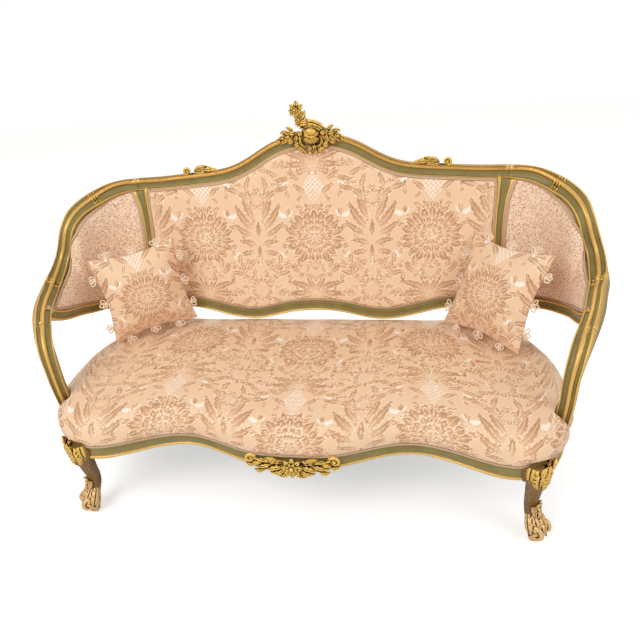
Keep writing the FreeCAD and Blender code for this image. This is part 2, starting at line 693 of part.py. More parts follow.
class Sofa:
    """The sofa's lines and pieces. Side pieces are made on the right and mirrored at the end."""

    def __init__(self):
        self.right, self.centre = {}, {}
        self.top, stops = top_line()
        self.middle, self.wing_at, self.arm_at, self.support_at, self.foot_at = stops
        self.lower = lower_rail_line()
        self.wing_low = wing_lower_line(self.top.frame(self.support_at - WING_TIP_BACK)[0])
        self.post_line = rear_post_line()
        self.post_room = self.room(self.post_line, 0, self.post_line.stops[-1])
        self.plan = SeatPlan()

    def room(self, line, start, end, grow=CLOTH_GAP):
        """Return the plain room that a member takes up, with a gap all round it."""
        return member(line, start, end, PLAIN_SECTION, grow)

    def seat_frame(self):
        """Add the legs, rear posts, four rails and the brace between them."""
        plan, post_line = self.plan, self.post_line
        at_leg = plan.reach(LEG_X + LEG_BLOCK / 2, LEG_Y)
        at_post = plan.reach(POST_X + POST_BLOCK / 2, REAR_POST_Y)
        post = member(post_line, 0, post_line.stops[-1], LOWER_SECTION)
        floor = Part.makeBox(400, 400, 60, Vector(POST_X - 200, REAR_POST_Y, GLIDE_HEIGHT - 60))
        leg, post = front_leg(), without(post, [floor])
        side = self.seat_rail(at_leg, at_post)
        self.right["front_leg"] = leg
        self.right["rear_post"] = post
        self.right["side_seat_rail"] = without(side, [leg, post])
        front = self.seat_rail(-at_leg, at_leg, RAIL_SCALLOP)
        rear = self.seat_rail(at_post, plan.run - at_post)
        self.centre["front_seat_rail"] = without(front, [leg, mirrored(leg)])
        sides = [self.right["side_seat_rail"], post]
        sides += [mirrored(piece) for piece in sides]
        self.centre["rear_seat_rail"] = without(rear, sides)
        start = Vector(-BRACE_WIDTH / 2, SEAT_PLAN[0][1], RAIL_LOW_Z + BRACE_INSET)
        length = SEAT_PLAN[-1][1] - SEAT_PLAN[0][1]
        brace = Part.makeBox(BRACE_WIDTH, length, RAIL_HEIGHT - 2 * BRACE_INSET, start)
        self.centre["seat_brace"] = without(brace, [front, rear])

    def seat_rail(self, start, end, scallop=0):
        """Return a seat rail between two places on the seat's plan."""
        line = self.plan.rail(start, end, scallop)
        return member(line, 0, line.stops[-1], SEAT_SECTION)

    def show_frame(self):
        """Add the crest, wings, arms, supports and the lower rails of the back."""
        top = self.top
        crest = member(top, 2 * self.middle - self.wing_at, self.wing_at, SHOW_SECTION)
        wing = member(top, self.wing_at, self.arm_at, SHOW_SECTION)
        arm = member(top, self.arm_at, self.support_at, SHOW_SECTION)
        support = member(top, self.support_at, self.foot_at, SHOW_SECTION)
        support = without(support, [self.right["side_seat_rail"]])
        post = without(self.right["rear_post"], [crest, wing])
        lower = member(self.lower, 0, self.lower.stops[-1], LOWER_SECTION)
        wing_lower = member(self.wing_low, 0, self.wing_low.stops[-1], LOWER_SECTION)
        self.centre["crest_rail"] = crest
        lower = without(lower, [post, mirrored(post)])
        self.centre["lower_back_rail"] = lower
        self.right["wing_rail"] = wing
        self.right["arm_rail"] = arm
        self.right["arm_support"] = support
        self.right["rear_post"] = post
        self.right["wing_lower_rail"] = without(wing_lower, [arm, support, post, lower])

    def seat(self):
        """Add the webbing, cushion, dust cover and gimp of the seat."""
        plan, drop = self.plan, SEAT_CROWN_Z - RAIL_TOP_Z + 40
        support = self.room(self.top, self.foot_at - drop, self.foot_at, SUPPORT_CLEARANCE)
        blockers = [support, self.post_room, knee_leaf(CLOTH_GAP)]
        blockers += [mirrored(shape) for shape in blockers]
        cushion = without(seat_cushion(plan), blockers)
        self.centre["seat_webbing"] = seat_webbing(plan)
        self.centre["seat_cushion"] = cushion
        band = plan_band(plan, RAIL_TOP_Z + CLOTH_GAP, GIMP_WIDTH, 3.5, -1.5)
        self.centre["seat_gimp"] = band.cut(blockers + [cushion]).Solids
        cover = Part.Face(plan.ring(RAIL_LOW_Z - CLOTH_GAP, -DUST_COVER_INSET)).extrude(UP * -1)
        corners = []
        for x, y, size in ((LEG_X, LEG_Y, LEG_BLOCK), (POST_X, REAR_POST_Y, POST_BLOCK)):
            size += 2 * DUST_COVER_CLEARANCE
            corner = Vector(x - size / 2, y - size / 2, RAIL_LOW_Z - size / 2)
            corners.append(Part.makeBox(size, size, size, corner))
        corners += [mirrored(corner) for corner in corners]
        self.centre["dust_cover"] = without(cover, corners)

    def centre_back(self):
        """Add the pad, webbing, gimp and outside cover between the rear posts."""
        low, high = (-POST_X, LOWER_RAIL_Z - 40), (POST_X, CREST_Z)
        edge_drop = FACE_DROP * CREST_DEPTH
        rooms = self.centre_rooms(CLOTH_GAP)
        pad = slab(edge_drop, PAD_THICKNESS, low, high)
        self.centre["centre_back_pad"] = without(pad, rooms)
        cover_drop = (CREST_DEPTH + LOWER_RAIL_DEPTH) / 2 - COVER_THICKNESS - CLOTH_GAP
        cover = slab(cover_drop, COVER_THICKNESS, low, high)
        self.centre["centre_back_cover"] = without(cover, rooms)
        self.centre["back_webbing"] = back_webbing(rooms)
        strip = slab(edge_drop - GIMP_THICKNESS, GIMP_THICKNESS, low, high)
        inside = without(strip, self.centre_rooms(GIMP_WIDTH))
        self.centre["centre_back_gimp"] = without(without(strip, rooms), [inside])

    def centre_rooms(self, grow):
        """Return the room of the members round the centre back, grown all round."""
        post_room = self.room(self.post_line, 0, self.post_line.stops[-1], grow)
        return [
            self.room(self.top, 2 * self.middle - self.wing_at, self.wing_at, grow),
            self.room(self.lower, 0, self.lower.stops[-1], grow),
            post_room,
            mirrored(post_room),
        ]

    def wings(self):
        """Add each wing's pad and outside cover between its rails."""
        run = self.support_at - WING_TIP_BACK - self.wing_at
        low_run = self.wing_low.stops[-1]
        reaches = []
        for step in range(WING_STATIONS + 1):
            share = 0.95 * step / WING_STATIONS
            reaches.append((self.wing_at + 8 + run * share, low_run * (1 - share) - 8))
        rooms = [
            self.room(self.top, self.wing_at, self.arm_at),
            self.room(self.top, self.arm_at, self.support_at),
            self.room(self.wing_low, 0, low_run),
            self.post_room,
        ]
        sheets = {
            "wing_pad": (WING_DROP, PAD_THICKNESS),
            "wing_cover": (WING_DROP + PAD_THICKNESS + COVER_THICKNESS, COVER_THICKNESS),
        }
        for name, (drop, thickness) in sheets.items():
            sheet = panel(self.top, self.wing_low, reaches, drop, thickness)
            self.right[name] = without(sheet, rooms)

    def carving(self):
        """Add the carved and gilded pieces."""
        crest, rail = self.centre["crest_rail"], self.centre["front_seat_rail"]
        self.centre["crest_cartouche"] = without(crest_cartouche(), [crest])
        scroll = crest_scroll(self.top, self.middle + SCROLL_REACH)
        self.right["crest_scroll"] = without(scroll, [crest])
        below = [self.centre["dust_cover"]] + self.centre["seat_gimp"]
        self.centre["apron_cartouche"] = without(apron_cartouche(), [rail] + below)
        carriers = [self.right["front_leg"], self.right["side_seat_rail"], rail]
        self.right["knee_acanthus"] = without(knee_leaf(), carriers)
        members = [self.right[name] for name in ("wing_rail", "arm_rail", "wing_pad")]
        ribs = []
        for reach in (self.wing_at + WING_COLLAR, self.arm_at):
            ribs += collar(self.top, reach, members)
        self.right["collars"] = ribs

    def dowels(self):
        """Add the dowels that cross the joints of the top line, and drill for them."""
        crest, drilled = self.centre["crest_rail"], []
        joints = (
            (self.wing_at, ("wing_rail",)),
            (self.arm_at, ("wing_rail", "arm_rail")),
            (self.support_at, ("arm_rail", "arm_support")),
        )
        for reach, names in joints:
            frame = self.top.frame(reach)
            pegs = dowel_pair(frame, frame[4] * DOWEL_SPREAD)
            for name in names:
                self.right[name] = without(self.right[name], pegs)
            drilled += pegs
        crest = without(crest, drilled + [mirrored(peg) for peg in drilled])
        self.centre["crest_rail"] = crest
        self.right["dowels"] = drilled

    def corner_blocks(self):
        """Add a screwed block in each corner of the seat frame."""
        half_leg, half_post = LEG_BLOCK / 2, POST_BLOCK / 2
        corners = (
            (Vector(LEG_X - half_leg, LEG_Y + half_leg, 0), Vector(-1, 1, 0), "front_leg"),
            (Vector(POST_X - half_post, REAR_POST_Y - half_post, 0), Vector(-1, -1, 0), "rear_post"),
        )
        rails = [self.right[name] for name in ("front_leg", "side_seat_rail", "rear_post")]
        rails += [self.centre["front_seat_rail"], self.centre["rear_seat_rail"]]
        blocks, screws = [], []
        for at, toward, post in corners:
            toward = toward.normalize()
            pair = []
            for z in (RAIL_MID_Z - SCREW_SPREAD, RAIL_MID_Z + SCREW_SPREAD):
                pair.append(screw(Vector(at.x, at.y, z) + toward * BLOCK_DEPTH, toward * -1))
            blocks.append(without(corner_block(at, toward), rails + pair))
            self.right[post] = without(self.right[post], pair)
            screws += pair
        drilled = screws + [mirrored(piece) for piece in screws]
        self.centre["rear_seat_rail"] = without(self.centre["rear_seat_rail"], drilled)
        self.right["corner_blocks"] = blocks
        self.right["block_screws"] = screws

    def glides(self):
        """Add the nailed glides under the front and rear foot."""
        rear = self.post_line.points[-2][0]
        feet = ((FOOT_X, FOOT_Y), (rear.x, rear.y))
        self.right["glides"] = [
            Part.makeCone(GLIDE_RADIUS - 2, GLIDE_RADIUS, GLIDE_HEIGHT, Vector(x, y, 0), UP)
            for x, y in feet
        ]

    def pieces(self):
        """Make every piece and return them by name."""
        for step in (self.seat_frame, self.show_frame, self.seat, self.centre_back, self.wings,
                     self.carving, self.dowels, self.corner_blocks, self.glides):
            step()
        parts = {name: as_shape(piece) for name, piece in self.centre.items()}
        for name, piece in self.right.items():
            shape = as_shape(piece)
            if name in SHARED_NODES:
                parts[name] = Part.makeCompound(shape.Solids + mirrored(shape).Solids)
            else:
                parts["right_" + name] = shape
                parts["left_" + name] = mirrored(shape)
        parts["right_pillow"] = placed_pillow(*RIGHT_PILLOW)
        parts["left_pillow"] = placed_pillow(*LEFT_PILLOW)
        return parts


def as_shape(piece):
    """Return one shape for a piece that may be a list of solids."""
    return Part.makeCompound(piece) if isinstance(piece, list) else piece


def export(parts):
    """Centre the sofa on its footprint, stand it on the floor and write every piece."""
    os.makedirs("parts", exist_ok=True)
    box = parts["seat_cushion"].optimalBoundingBox()
    for shape in parts.values():
        box.add(shape.optimalBoundingBox())
    shift = Vector(-box.Center.x, -box.Center.y, -box.ZMin)
    for name, shape in parts.items():
        shape.translate(shift)
        shape.exportStep(f"parts/{name}.step")
    print(f"{len(parts)} pieces, size {box.XLength:.1f} x {box.YLength:.1f} x {box.ZLength:.1f} mm")
    print(f"moved by {shift.x:.3f}, {shift.y:.3f}, {shift.z:.3f} mm")


if __name__ == "__main__":
    export(Sofa().pieces())
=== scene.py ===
"""Dresses the cabriole sofa: painted and gilded show frame, damask upholstery and loose pillows."""

import json
import logging
import math
from dataclasses import dataclass, field
from enum import Enum
from typing import Iterable, Sequence

import bpy
import numpy as np
from mathutils import Matrix, Vector
from mathutils.bvhtree import BVHTree

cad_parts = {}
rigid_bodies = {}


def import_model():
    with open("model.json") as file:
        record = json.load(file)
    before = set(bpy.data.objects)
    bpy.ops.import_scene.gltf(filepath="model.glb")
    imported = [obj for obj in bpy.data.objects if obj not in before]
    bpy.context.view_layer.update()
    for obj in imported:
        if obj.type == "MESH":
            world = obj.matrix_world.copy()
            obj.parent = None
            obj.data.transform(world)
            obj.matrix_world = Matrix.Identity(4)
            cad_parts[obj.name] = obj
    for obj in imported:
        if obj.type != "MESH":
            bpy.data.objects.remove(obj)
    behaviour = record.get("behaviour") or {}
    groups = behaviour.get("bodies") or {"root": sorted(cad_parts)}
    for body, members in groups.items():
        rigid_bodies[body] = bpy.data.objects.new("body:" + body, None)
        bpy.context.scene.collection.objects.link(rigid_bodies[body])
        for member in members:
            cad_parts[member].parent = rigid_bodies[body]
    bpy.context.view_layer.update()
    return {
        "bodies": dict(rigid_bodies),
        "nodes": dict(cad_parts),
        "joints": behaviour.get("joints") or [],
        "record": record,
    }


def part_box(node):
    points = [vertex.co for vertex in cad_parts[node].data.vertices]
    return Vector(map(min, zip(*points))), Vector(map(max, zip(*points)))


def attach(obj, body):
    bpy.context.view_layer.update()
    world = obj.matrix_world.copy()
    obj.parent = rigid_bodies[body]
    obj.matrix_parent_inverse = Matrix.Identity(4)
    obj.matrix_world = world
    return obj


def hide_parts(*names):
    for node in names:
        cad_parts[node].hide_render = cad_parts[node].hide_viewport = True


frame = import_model()
LOG = logging.getLogger("sofa")

MM = 0.001
# The front glides' edge in the sofa's own plan, in metres, and how far the frame was moved from it
GLIDE_FRONT = -0.349
SHIFT_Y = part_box("glides")[0].y - GLIDE_FRONT
GLIDE_HEIGHT = 0.004
UP = np.array([0.0, 0.0, 1.0])
# Cloth stops this many millimetres short of the moulding round it
CLOTH_GAP = 0.6
# The wing panels end this many millimetres of moulding above the arm supports
PANEL_STOP = 75
BRAID_HALF_WIDTH = 0.0052
# The points of a cabriole leg's ring
LEG_SIDES = 32
CLOTH_SPACING = 3.4


class Body(Enum):
    """The bodies that move apart."""

    SOFA = "sofa"
    LEFT_PILLOW = "left_pillow"
    RIGHT_PILLOW = "right_pillow"


# Curves and meshes

class SmoothCurve:
    """A smooth curve through points, measured by the straight distances between them."""

    def __init__(self, points: Sequence[Sequence[float]]) -> None:
        """Fit the curve.

        Args:
            points: the places that the curve goes through.
        """
        self.points = np.array(points, float)
        steps = np.linalg.norm(np.diff(self.points, axis=0), axis=1)
        self.stops = np.concatenate([[0.0], np.cumsum(steps)])
        self.slopes = self._slopes()

    def _slopes(self) -> np.ndarray:
        """Return the curve's slope at each point, with ends that follow their neighbours.

        Returns:
            One slope for each point.
        """
        t, p = self.stops, self.points
        count = len(t)
        matrix, right = np.zeros((count, count)), np.zeros_like(p)
        for end, rows in ((0, slice(0, min(4, count))), (count - 1, slice(-min(4, count), None))):
            fit = np.polyfit(t[rows] - t[end], p[rows], min(3, count - 1))
            matrix[end, end], right[end] = 1.0, fit[-2]
        for i in range(1, count - 1):
            before, after = t[i] - t[i - 1], t[i + 1] - t[i]
            matrix[i, i - 1], matrix[i, i + 1] = 1 / before, 1 / after
            matrix[i, i] = 2 / before + 2 / after
            right[i] = 3 * ((p[i] - p[i - 1]) / before ** 2 + (p[i + 1] - p[i]) / after ** 2)
        return np.linalg.solve(matrix, right)

    def at(self, reach: np.ndarray) -> tuple[np.ndarray, np.ndarray]:
        """Return places and unit tangents.

        Args:
            reach: distances along the curve.

        Returns:
            The places and the tangents there, one row each.
        """
        reach = np.atleast_1d(np.asarray(reach, float))
        i = np.clip(np.searchsorted(self.stops, reach, "right") - 1, 0, len(self.stops) - 2)
        run = (self.stops[i + 1] - self.stops[i])[:, None]
        s = (reach - self.stops[i])[:, None] / run
        p, q = self.points[i], self.points[i + 1]
        m, n = self.slopes[i] * run, self.slopes[i + 1] * run
        place = ((2 * s ** 3 - 3 * s ** 2 + 1) * p + (s ** 3 - 2 * s ** 2 + s) * m
                 + (3 * s ** 2 - 2 * s ** 3) * q + (s ** 3 - s ** 2) * n)
        slope = ((6 * s ** 2 - 6 * s) * p + (3 * s ** 2 - 4 * s + 1) * m
                 + (6 * s - 6 * s ** 2) * q + (3 * s ** 2 - 2 * s) * n)
        return place, unit(slope)


def unit(vectors: np.ndarray) -> np.ndarray:
    """Return vectors scaled to length one."""
    return vectors / np.maximum(np.linalg.norm(vectors, axis=-1, keepdims=True), 1e-12)


def mesh_object(name: str, verts: np.ndarray, faces: Iterable[Sequence[int]]) -> bpy.types.Object:
    """Return a new object at the origin with a mesh.

    Args:
        name: the piece's name.
        verts: its points in metres, one row each.
        faces: the corner numbers of each face.

    Returns:
        The object, linked to the scene.
    """
    mesh = bpy.data.meshes.new(name)
    mesh.from_pydata([tuple(v) for v in verts], [], [tuple(f) for f in faces])
    mesh.polygons.foreach_set("use_smooth", [True] * len(mesh.polygons))
    piece = bpy.data.objects.new(name, mesh)
    bpy.context.scene.collection.objects.link(piece)
    return piece


def grid_faces(rows: int, columns: int, wrap: bool = False, first: int = 0) -> list[tuple]:
    """Return the faces of a grid of points stored row by row.

    Args:
        rows: the number of rows.
        columns: the number of points in each row.
        wrap: whether each row closes on itself.
        first: the number of the grid's first point.

    Returns:
        Four corner numbers for each face.
    """
    faces = []
    for i in range(rows - 1):
        for j in range(columns if wrap else columns - 1):
            k = (j + 1) % columns
            faces.append((first + i * columns + j, first + i * columns + k,
                          first + (i + 1) * columns + k, first + (i + 1) * columns + j))
    return faces


def tube_faces(rings: int, sides: int) -> list[tuple]:
    """Return the faces of a closed tube whose rings of points are stored one by one.

    Args:
        rings: the number of rings.
        sides: the number of points in each ring.

    Returns:
        The corner numbers of each side face and of the two ends.
    """
    faces = grid_faces(rings, sides, wrap=True)
    faces.append(tuple(range(sides))[::-1])
    faces.append(tuple((rings - 1) * sides + k for k in range(sides)))
    return faces


def rim(rows: int, columns: int) -> np.ndarray:
    """Return the places of a grid's edge points, in order round it.

    Args:
        rows: the number of rows.
        columns: the number of columns.

    Returns:
        The row and the column of each edge point.
    """
    ring = [(0, j) for j in range(columns)] + [(i, columns - 1) for i in range(1, rows)]
    ring += [(rows - 1, j) for j in range(columns - 2, -1, -1)]
    return np.array(ring + [(i, 0) for i in range(rows - 2, 0, -1)])


def rim_faces(rows: int, columns: int, count: int) -> list[tuple]:
    """Return the faces that join the edges of two grids, one stored after the other.

    Args:
        rows: the number of rows of each grid.
        columns: the number of columns of each grid.
        count: the number of points in each grid.

    Returns:
        Four corner numbers for each face.
    """
    i, j = rim(rows, columns).T
    ring = (i * columns + j).tolist()
    return [(a, b, b + count, a + count) for a, b in zip(ring, ring[1:] + ring[:1])]


def set_attribute(piece: bpy.types.Object, name: str, values: np.ndarray) -> None:
    """Store one number for each point of a piece."""
    layer = piece.data.attributes.get(name) or piece.data.attributes.new(name, "FLOAT", "POINT")
    layer.data.foreach_set("value", np.asarray(values, np.float32))


def points_of(piece: bpy.types.Object) -> np.ndarray:
    """Return a piece's points, one row each.

    Args:
        piece: the piece.

    Returns:
        The points in metres.
    """
    flat = np.zeros(len(piece.data.vertices) * 3)
    piece.data.vertices.foreach_get("co", flat)
    return flat.reshape(-1, 3)


def move_points(piece: bpy.types.Object, places: np.ndarray) -> None:
    """Put a piece's points at new places."""
    piece.data.vertices.foreach_set("co", np.asarray(places, np.float32).ravel())
    piece.data.update()


def choose_none() -> None:
    """Deselect everything."""
    for other in bpy.context.scene.objects:
        other.select_set(False)


def choose(piece: bpy.types.Object) -> None:
    """Deselect everything, then select one piece and make it active.

    Args:
        piece: the piece.
    """
    choose_none()
    piece.select_set(True)
    bpy.context.view_layer.objects.active = piece


def outward(piece: bpy.types.Object, merge: float = 1e-5, turn: bool = True) -> bpy.types.Object:
    """Merge a piece's doubles and turn its faces outwards, where they aren't yet.

    Args:
        piece: the piece.
        merge: how near two points have to be to become one, in metres.
        turn: whether to turn the faces.

    Returns:
        The same piece.
    """
    choose(piece)
    bpy.ops.object.mode_set(mode="EDIT")
    bpy.ops.mesh.select_all(action="SELECT")
    bpy.ops.mesh.remove_doubles(threshold=merge)
    if turn:
        bpy.ops.mesh.normals_make_consistent(inside=False)
    bpy.ops.object.mode_set(mode="OBJECT")
    return piece


def apply_modifier(piece: bpy.types.Object, kind: str, **settings: object) -> None:
    """Add a modifier to a piece with settings and apply it.

    Args:
        piece: the piece.
        kind: the modifier's type.
        settings: its settings by name.
    """
    choose(piece)
    modifier = piece.modifiers.new(kind.lower(), kind)
    for key, value in settings.items():
        setattr(modifier, key, value)
    bpy.ops.object.modifier_apply(modifier=modifier.name)


def joined(name: str, pieces: Sequence[bpy.types.Object]) -> bpy.types.Object:
    """Join pieces into one object with a name.

    Args:
        name: the new object's name.
        pieces: the pieces to join.

    Returns:
        The one object.
    """
    choose(pieces[0])
    for piece in pieces:
        piece.select_set(True)
    if len(pieces) > 1:
        bpy.ops.object.join()
    whole = bpy.context.view_layer.objects.active
    whole.name = whole.data.name = name
    return whole


def mark_hollows(piece: bpy.types.Object, rounds: int = 3, gain: float = 9.0) -> None:
    """Store how hollow the surface is at each point, for the dark glaze that settles there, for
    painted shade in the hollows and for a painted highlight on the ridges.

    Args:
        piece: the piece.
        rounds: how many times the values are smoothed.
        gain: how strongly a bend shows in the value.
    """
    mesh = piece.data
    places = points_of(piece)
    normals = np.zeros(len(mesh.vertices) * 3)
    mesh.vertices.foreach_get("normal", normals)
    normals = normals.reshape(-1, 3)
    edges = np.zeros(len(mesh.edges) * 2, int)
    mesh.edges.foreach_get("vertices", edges)
    a, b = edges.reshape(-1, 2).T
    count = np.bincount(a, minlength=len(places)) + np.bincount(b, minlength=len(places))
    count = np.maximum(count, 1)
    toward = np.zeros_like(places)
    step = places[b] - places[a]
    length = np.linalg.norm(step, axis=1)
    np.add.at(toward, a, step)
    np.add.at(toward, b, -step)
    mean = np.bincount(a, length, len(places)) + np.bincount(b, length, len(places))
    hollow = (toward * normals).sum(1) / np.maximum(mean, 1e-9)
    for _ in range(rounds):
        spread = np.bincount(a, hollow[b], len(places)) + np.bincount(b, hollow[a], len(places))
        hollow = 0.5 * hollow + 0.5 * spread / count
    set_attribute(piece, "hollow", np.clip(0.5 + gain * hollow, 0, 1))


def mark_crevices(piece: bpy.types.Object, reach: float = 0.014, weight: float = 1.2) -> None:
    """Add painted shade to a carving's hollows: how much of its own forms hides each point.

    Args:
        piece: the carving, with its "hollow" attribute.
        reach: how near a form has to be to count, in metres.
        weight: how much a point that is hidden all round gains.
    """
    places = points_of(piece)
    tree = BVHTree.FromPolygons(places.tolist(), [tuple(f.vertices) for f in piece.data.polygons])
    turn = np.arange(14) * 2.39996
    rise = 1 - 2 * (np.arange(14) + 0.5) / 14
    ways = [Vector((math.sqrt(1 - z * z) * math.cos(a), math.sqrt(1 - z * z) * math.sin(a), z))
            for a, z in zip(turn, rise)]
    hidden = np.zeros(len(places))
    for k, vertex in enumerate(piece.data.vertices):
        start = vertex.co + vertex.normal * 0.0004
        for way in ways:
            distance = tree.ray_cast(start, vertex.normal * 1.05 + way, reach)[3]
            if distance is not None:
                hidden[k] += 1 - distance / reach
    hollow = np.zeros(len(places))
    piece.data.attributes["hollow"].data.foreach_get("value", hollow)
    # The occlusion is added to the hollows as painted shade
    set_attribute(piece, "hollow", np.clip(hollow + weight * hidden / len(ways) * 1.6 - 0.06, 0, 1))


# Finishes

def linear(colour: str) -> tuple[float, float, float, float]:
    """Return the linear colour of an sRGB hex value such as "#c8a24a".

    Args:
        colour: the hex value.

    Returns:
        Red, green, blue and 1 for opaque.
    """
    parts = [int(colour[i:i + 2], 16) / 255 for i in (1, 3, 5)]
    parts = [c / 12.92 if c <= 0.04045 else ((c + 0.055) / 1.055) ** 2.4 for c in parts]
    return (parts[0], parts[1], parts[2], 1.0)


def add_node(tree: bpy.types.NodeTree, kind: str, settings: dict | None = None,
             inputs: dict | None = None) -> bpy.types.Node:
    """Add a node with its settings and links.

    Args:
        tree: the material's node tree.
        kind: the node's type, without the ShaderNode prefix.
        settings: the node's own properties by name.
        inputs: socket names or numbers, each with a value or an output socket to link.

    Returns:
        The new node.
    """
    node = tree.nodes.new("ShaderNode" + kind)
    for key, value in (settings or {}).items():
        setattr(node, key, value)
    for key, value in (inputs or {}).items():
        if isinstance(value, bpy.types.NodeSocket):
            tree.links.new(value, node.inputs[key])
        else:
            node.inputs[key].default_value = value
    return node


def ramp(tree: bpy.types.NodeTree, factor: bpy.types.NodeSocket,
         stops: Sequence[tuple[float, str]]) -> bpy.types.NodeSocket:
    """Add a colour ramp whose stops are hex colours and return its colour output.

    Args:
        tree: the material's node tree.
        factor: what runs along the ramp.
        stops: places from 0 to 1, each with its colour.

    Returns:
        The colour output.
    """
    node = add_node(tree, "ValToRGB", inputs={"Fac": factor})
    elements = node.color_ramp.elements
    while len(elements) < len(stops):
        elements.new(0.5)
    for element, (place, colour) in zip(elements, stops):
        element.position, element.color = place, linear(colour)
    return node.outputs["Color"]


def mixed(tree: bpy.types.NodeTree, factor: object, first: object, second: object,
          way: str = "MIX") -> bpy.types.NodeSocket:
    """Add a colour mix and return its result; colours may be hex strings or sockets.

    Args:
        tree: the material's node tree.
        factor: the second colour's share.
        first: the first colour.
        second: the second colour.
        way: the blend type.

    Returns:
        The mixed colour's output.
    """
    first = linear(first) if isinstance(first, str) else first
    second = linear(second) if isinstance(second, str) else second
    node = add_node(tree, "Mix", {"data_type": "RGBA", "blend_type": way},
                    {"Factor": factor, 6: first, 7: second})
    return node.outputs[2]


def sums(tree: bpy.types.NodeTree, way: str, first: object, second: object = 0.0,
         clamp: bool = False) -> bpy.types.NodeSocket:
    """Add a sum of two numbers and return its result."""
    node = add_node(tree, "Math", {"operation": way, "use_clamp": clamp}, {0: first, 1: second})
    return node.outputs[0]


def new_material(name: str) -> tuple[bpy.types.Material, bpy.types.NodeTree, bpy.types.Node]:
    """Return a new material, its node tree and its shader.

    Args:
        name: the finish's name.

    Returns:
        The material, its tree and its shader.
    """
    material = bpy.data.materials.new(name)
    material.use_nodes = True
    return material, material.node_tree, material.node_tree.nodes["Principled BSDF"]


def attribute(tree: bpy.types.NodeTree, name: str) -> bpy.types.NodeSocket:
    """Return the value of a piece's own attribute."""
    return add_node(tree, "Attribute", {"attribute_name": name}).outputs["Fac"]


@dataclass(frozen=True)
class PaintAndGilt:
    """Gesso-ground wood painted green, with burnished gold on the raised mouldings.

    The paint is satin and rubbed at its edges; brown glaze and painted shade lie in the hollows,
    and the gold is burnished and lighter on the ridges as a painted highlight."""

    name: str
    paint: str = "#9a8c50"
    paint_deep: str = "#746531"
    gold: str = "#ad7c31"
    # The bright gold is burnished gold and a painted highlight on ridges; the dull gold and the
    # dark glaze colour are partly painted shade in the hollows
    gold_bright: str = "#e2b865"
    gold_dull: str = "#7d531c"
    glaze_and_shade: str = "#3b2409"
    glaze_and_shade_share: float = 0.40
    mottle: float = 0.35

    def make(self) -> bpy.types.Material:
        """Return the material.

        Returns:
            The material, ready to append.
        """
        material, tree, shader = new_material(self.name)
        place = add_node(tree, "TexCoord").outputs["Object"]
        # Brush-wide variation of about 40 mm, and rubbed wear of about 6 mm
        broad = add_node(tree, "TexNoise", inputs={"Vector": place, "Scale": 25.0, "Detail": 3.0})
        fine = add_node(tree, "TexNoise", inputs={"Vector": place, "Scale": 160.0, "Detail": 5.0,
                                                  "Roughness": 0.6})
        hollow, gilt = attribute(tree, "hollow"), attribute(tree, "gilt")
        worn = sums(tree, "ADD", gilt, sums(tree, "MULTIPLY", sums(
            tree, "SUBTRACT", fine.outputs["Fac"], 0.5), 0.9))
        gilded = add_node(tree, "MapRange", {"interpolation_type": "SMOOTHSTEP"}, {
            "Value": worn, "From Min": 0.38, "From Max": 0.62}).outputs["Result"]
        paint = mixed(tree, broad.outputs["Fac"], self.paint_deep, self.paint)
        # From a painted highlight on the ridges over burnished and dull gold to dark glaze and
        # painted shade in the hollows, mottled at random
        gold = ramp(tree, sums(tree, "ADD", hollow, sums(tree, "MULTIPLY", sums(
            tree, "SUBTRACT", fine.outputs["Fac"], 0.5), self.mottle)), (
                (0.31, self.gold_bright), (0.47, self.gold), (0.61, self.gold_dull),
                (0.79, self.glaze_and_shade)))
        colour = mixed(tree, gilded, paint, gold)
        # Dark glaze and painted shade in the deepest hollows
        settled_and_shaded = add_node(tree, "MapRange", {"interpolation_type": "SMOOTHSTEP"}, {
            "Value": hollow, "From Min": 0.66, "From Max": 0.95, "To Max": self.glaze_and_shade_share})
        colour = mixed(tree, settled_and_shaded.outputs["Result"], colour, self.glaze_and_shade)
        tree.links.new(colour, shader.inputs["Base Color"])
        metal = sums(tree, "MULTIPLY", gilded, 0.55)
        tree.links.new(metal, shader.inputs["Metallic"])
        rough = sums(tree, "ADD", sums(tree, "MULTIPLY", fine.outputs["Fac"], 0.25), 0.30)
        tree.links.new(rough, shader.inputs["Roughness"])
        bump = add_node(tree, "Bump", inputs={"Height": fine.outputs["Fac"], "Strength": 0.35,
                                              "Distance": 0.001})
        tree.links.new(bump.outputs["Normal"], shader.inputs["Normal"])
        return material


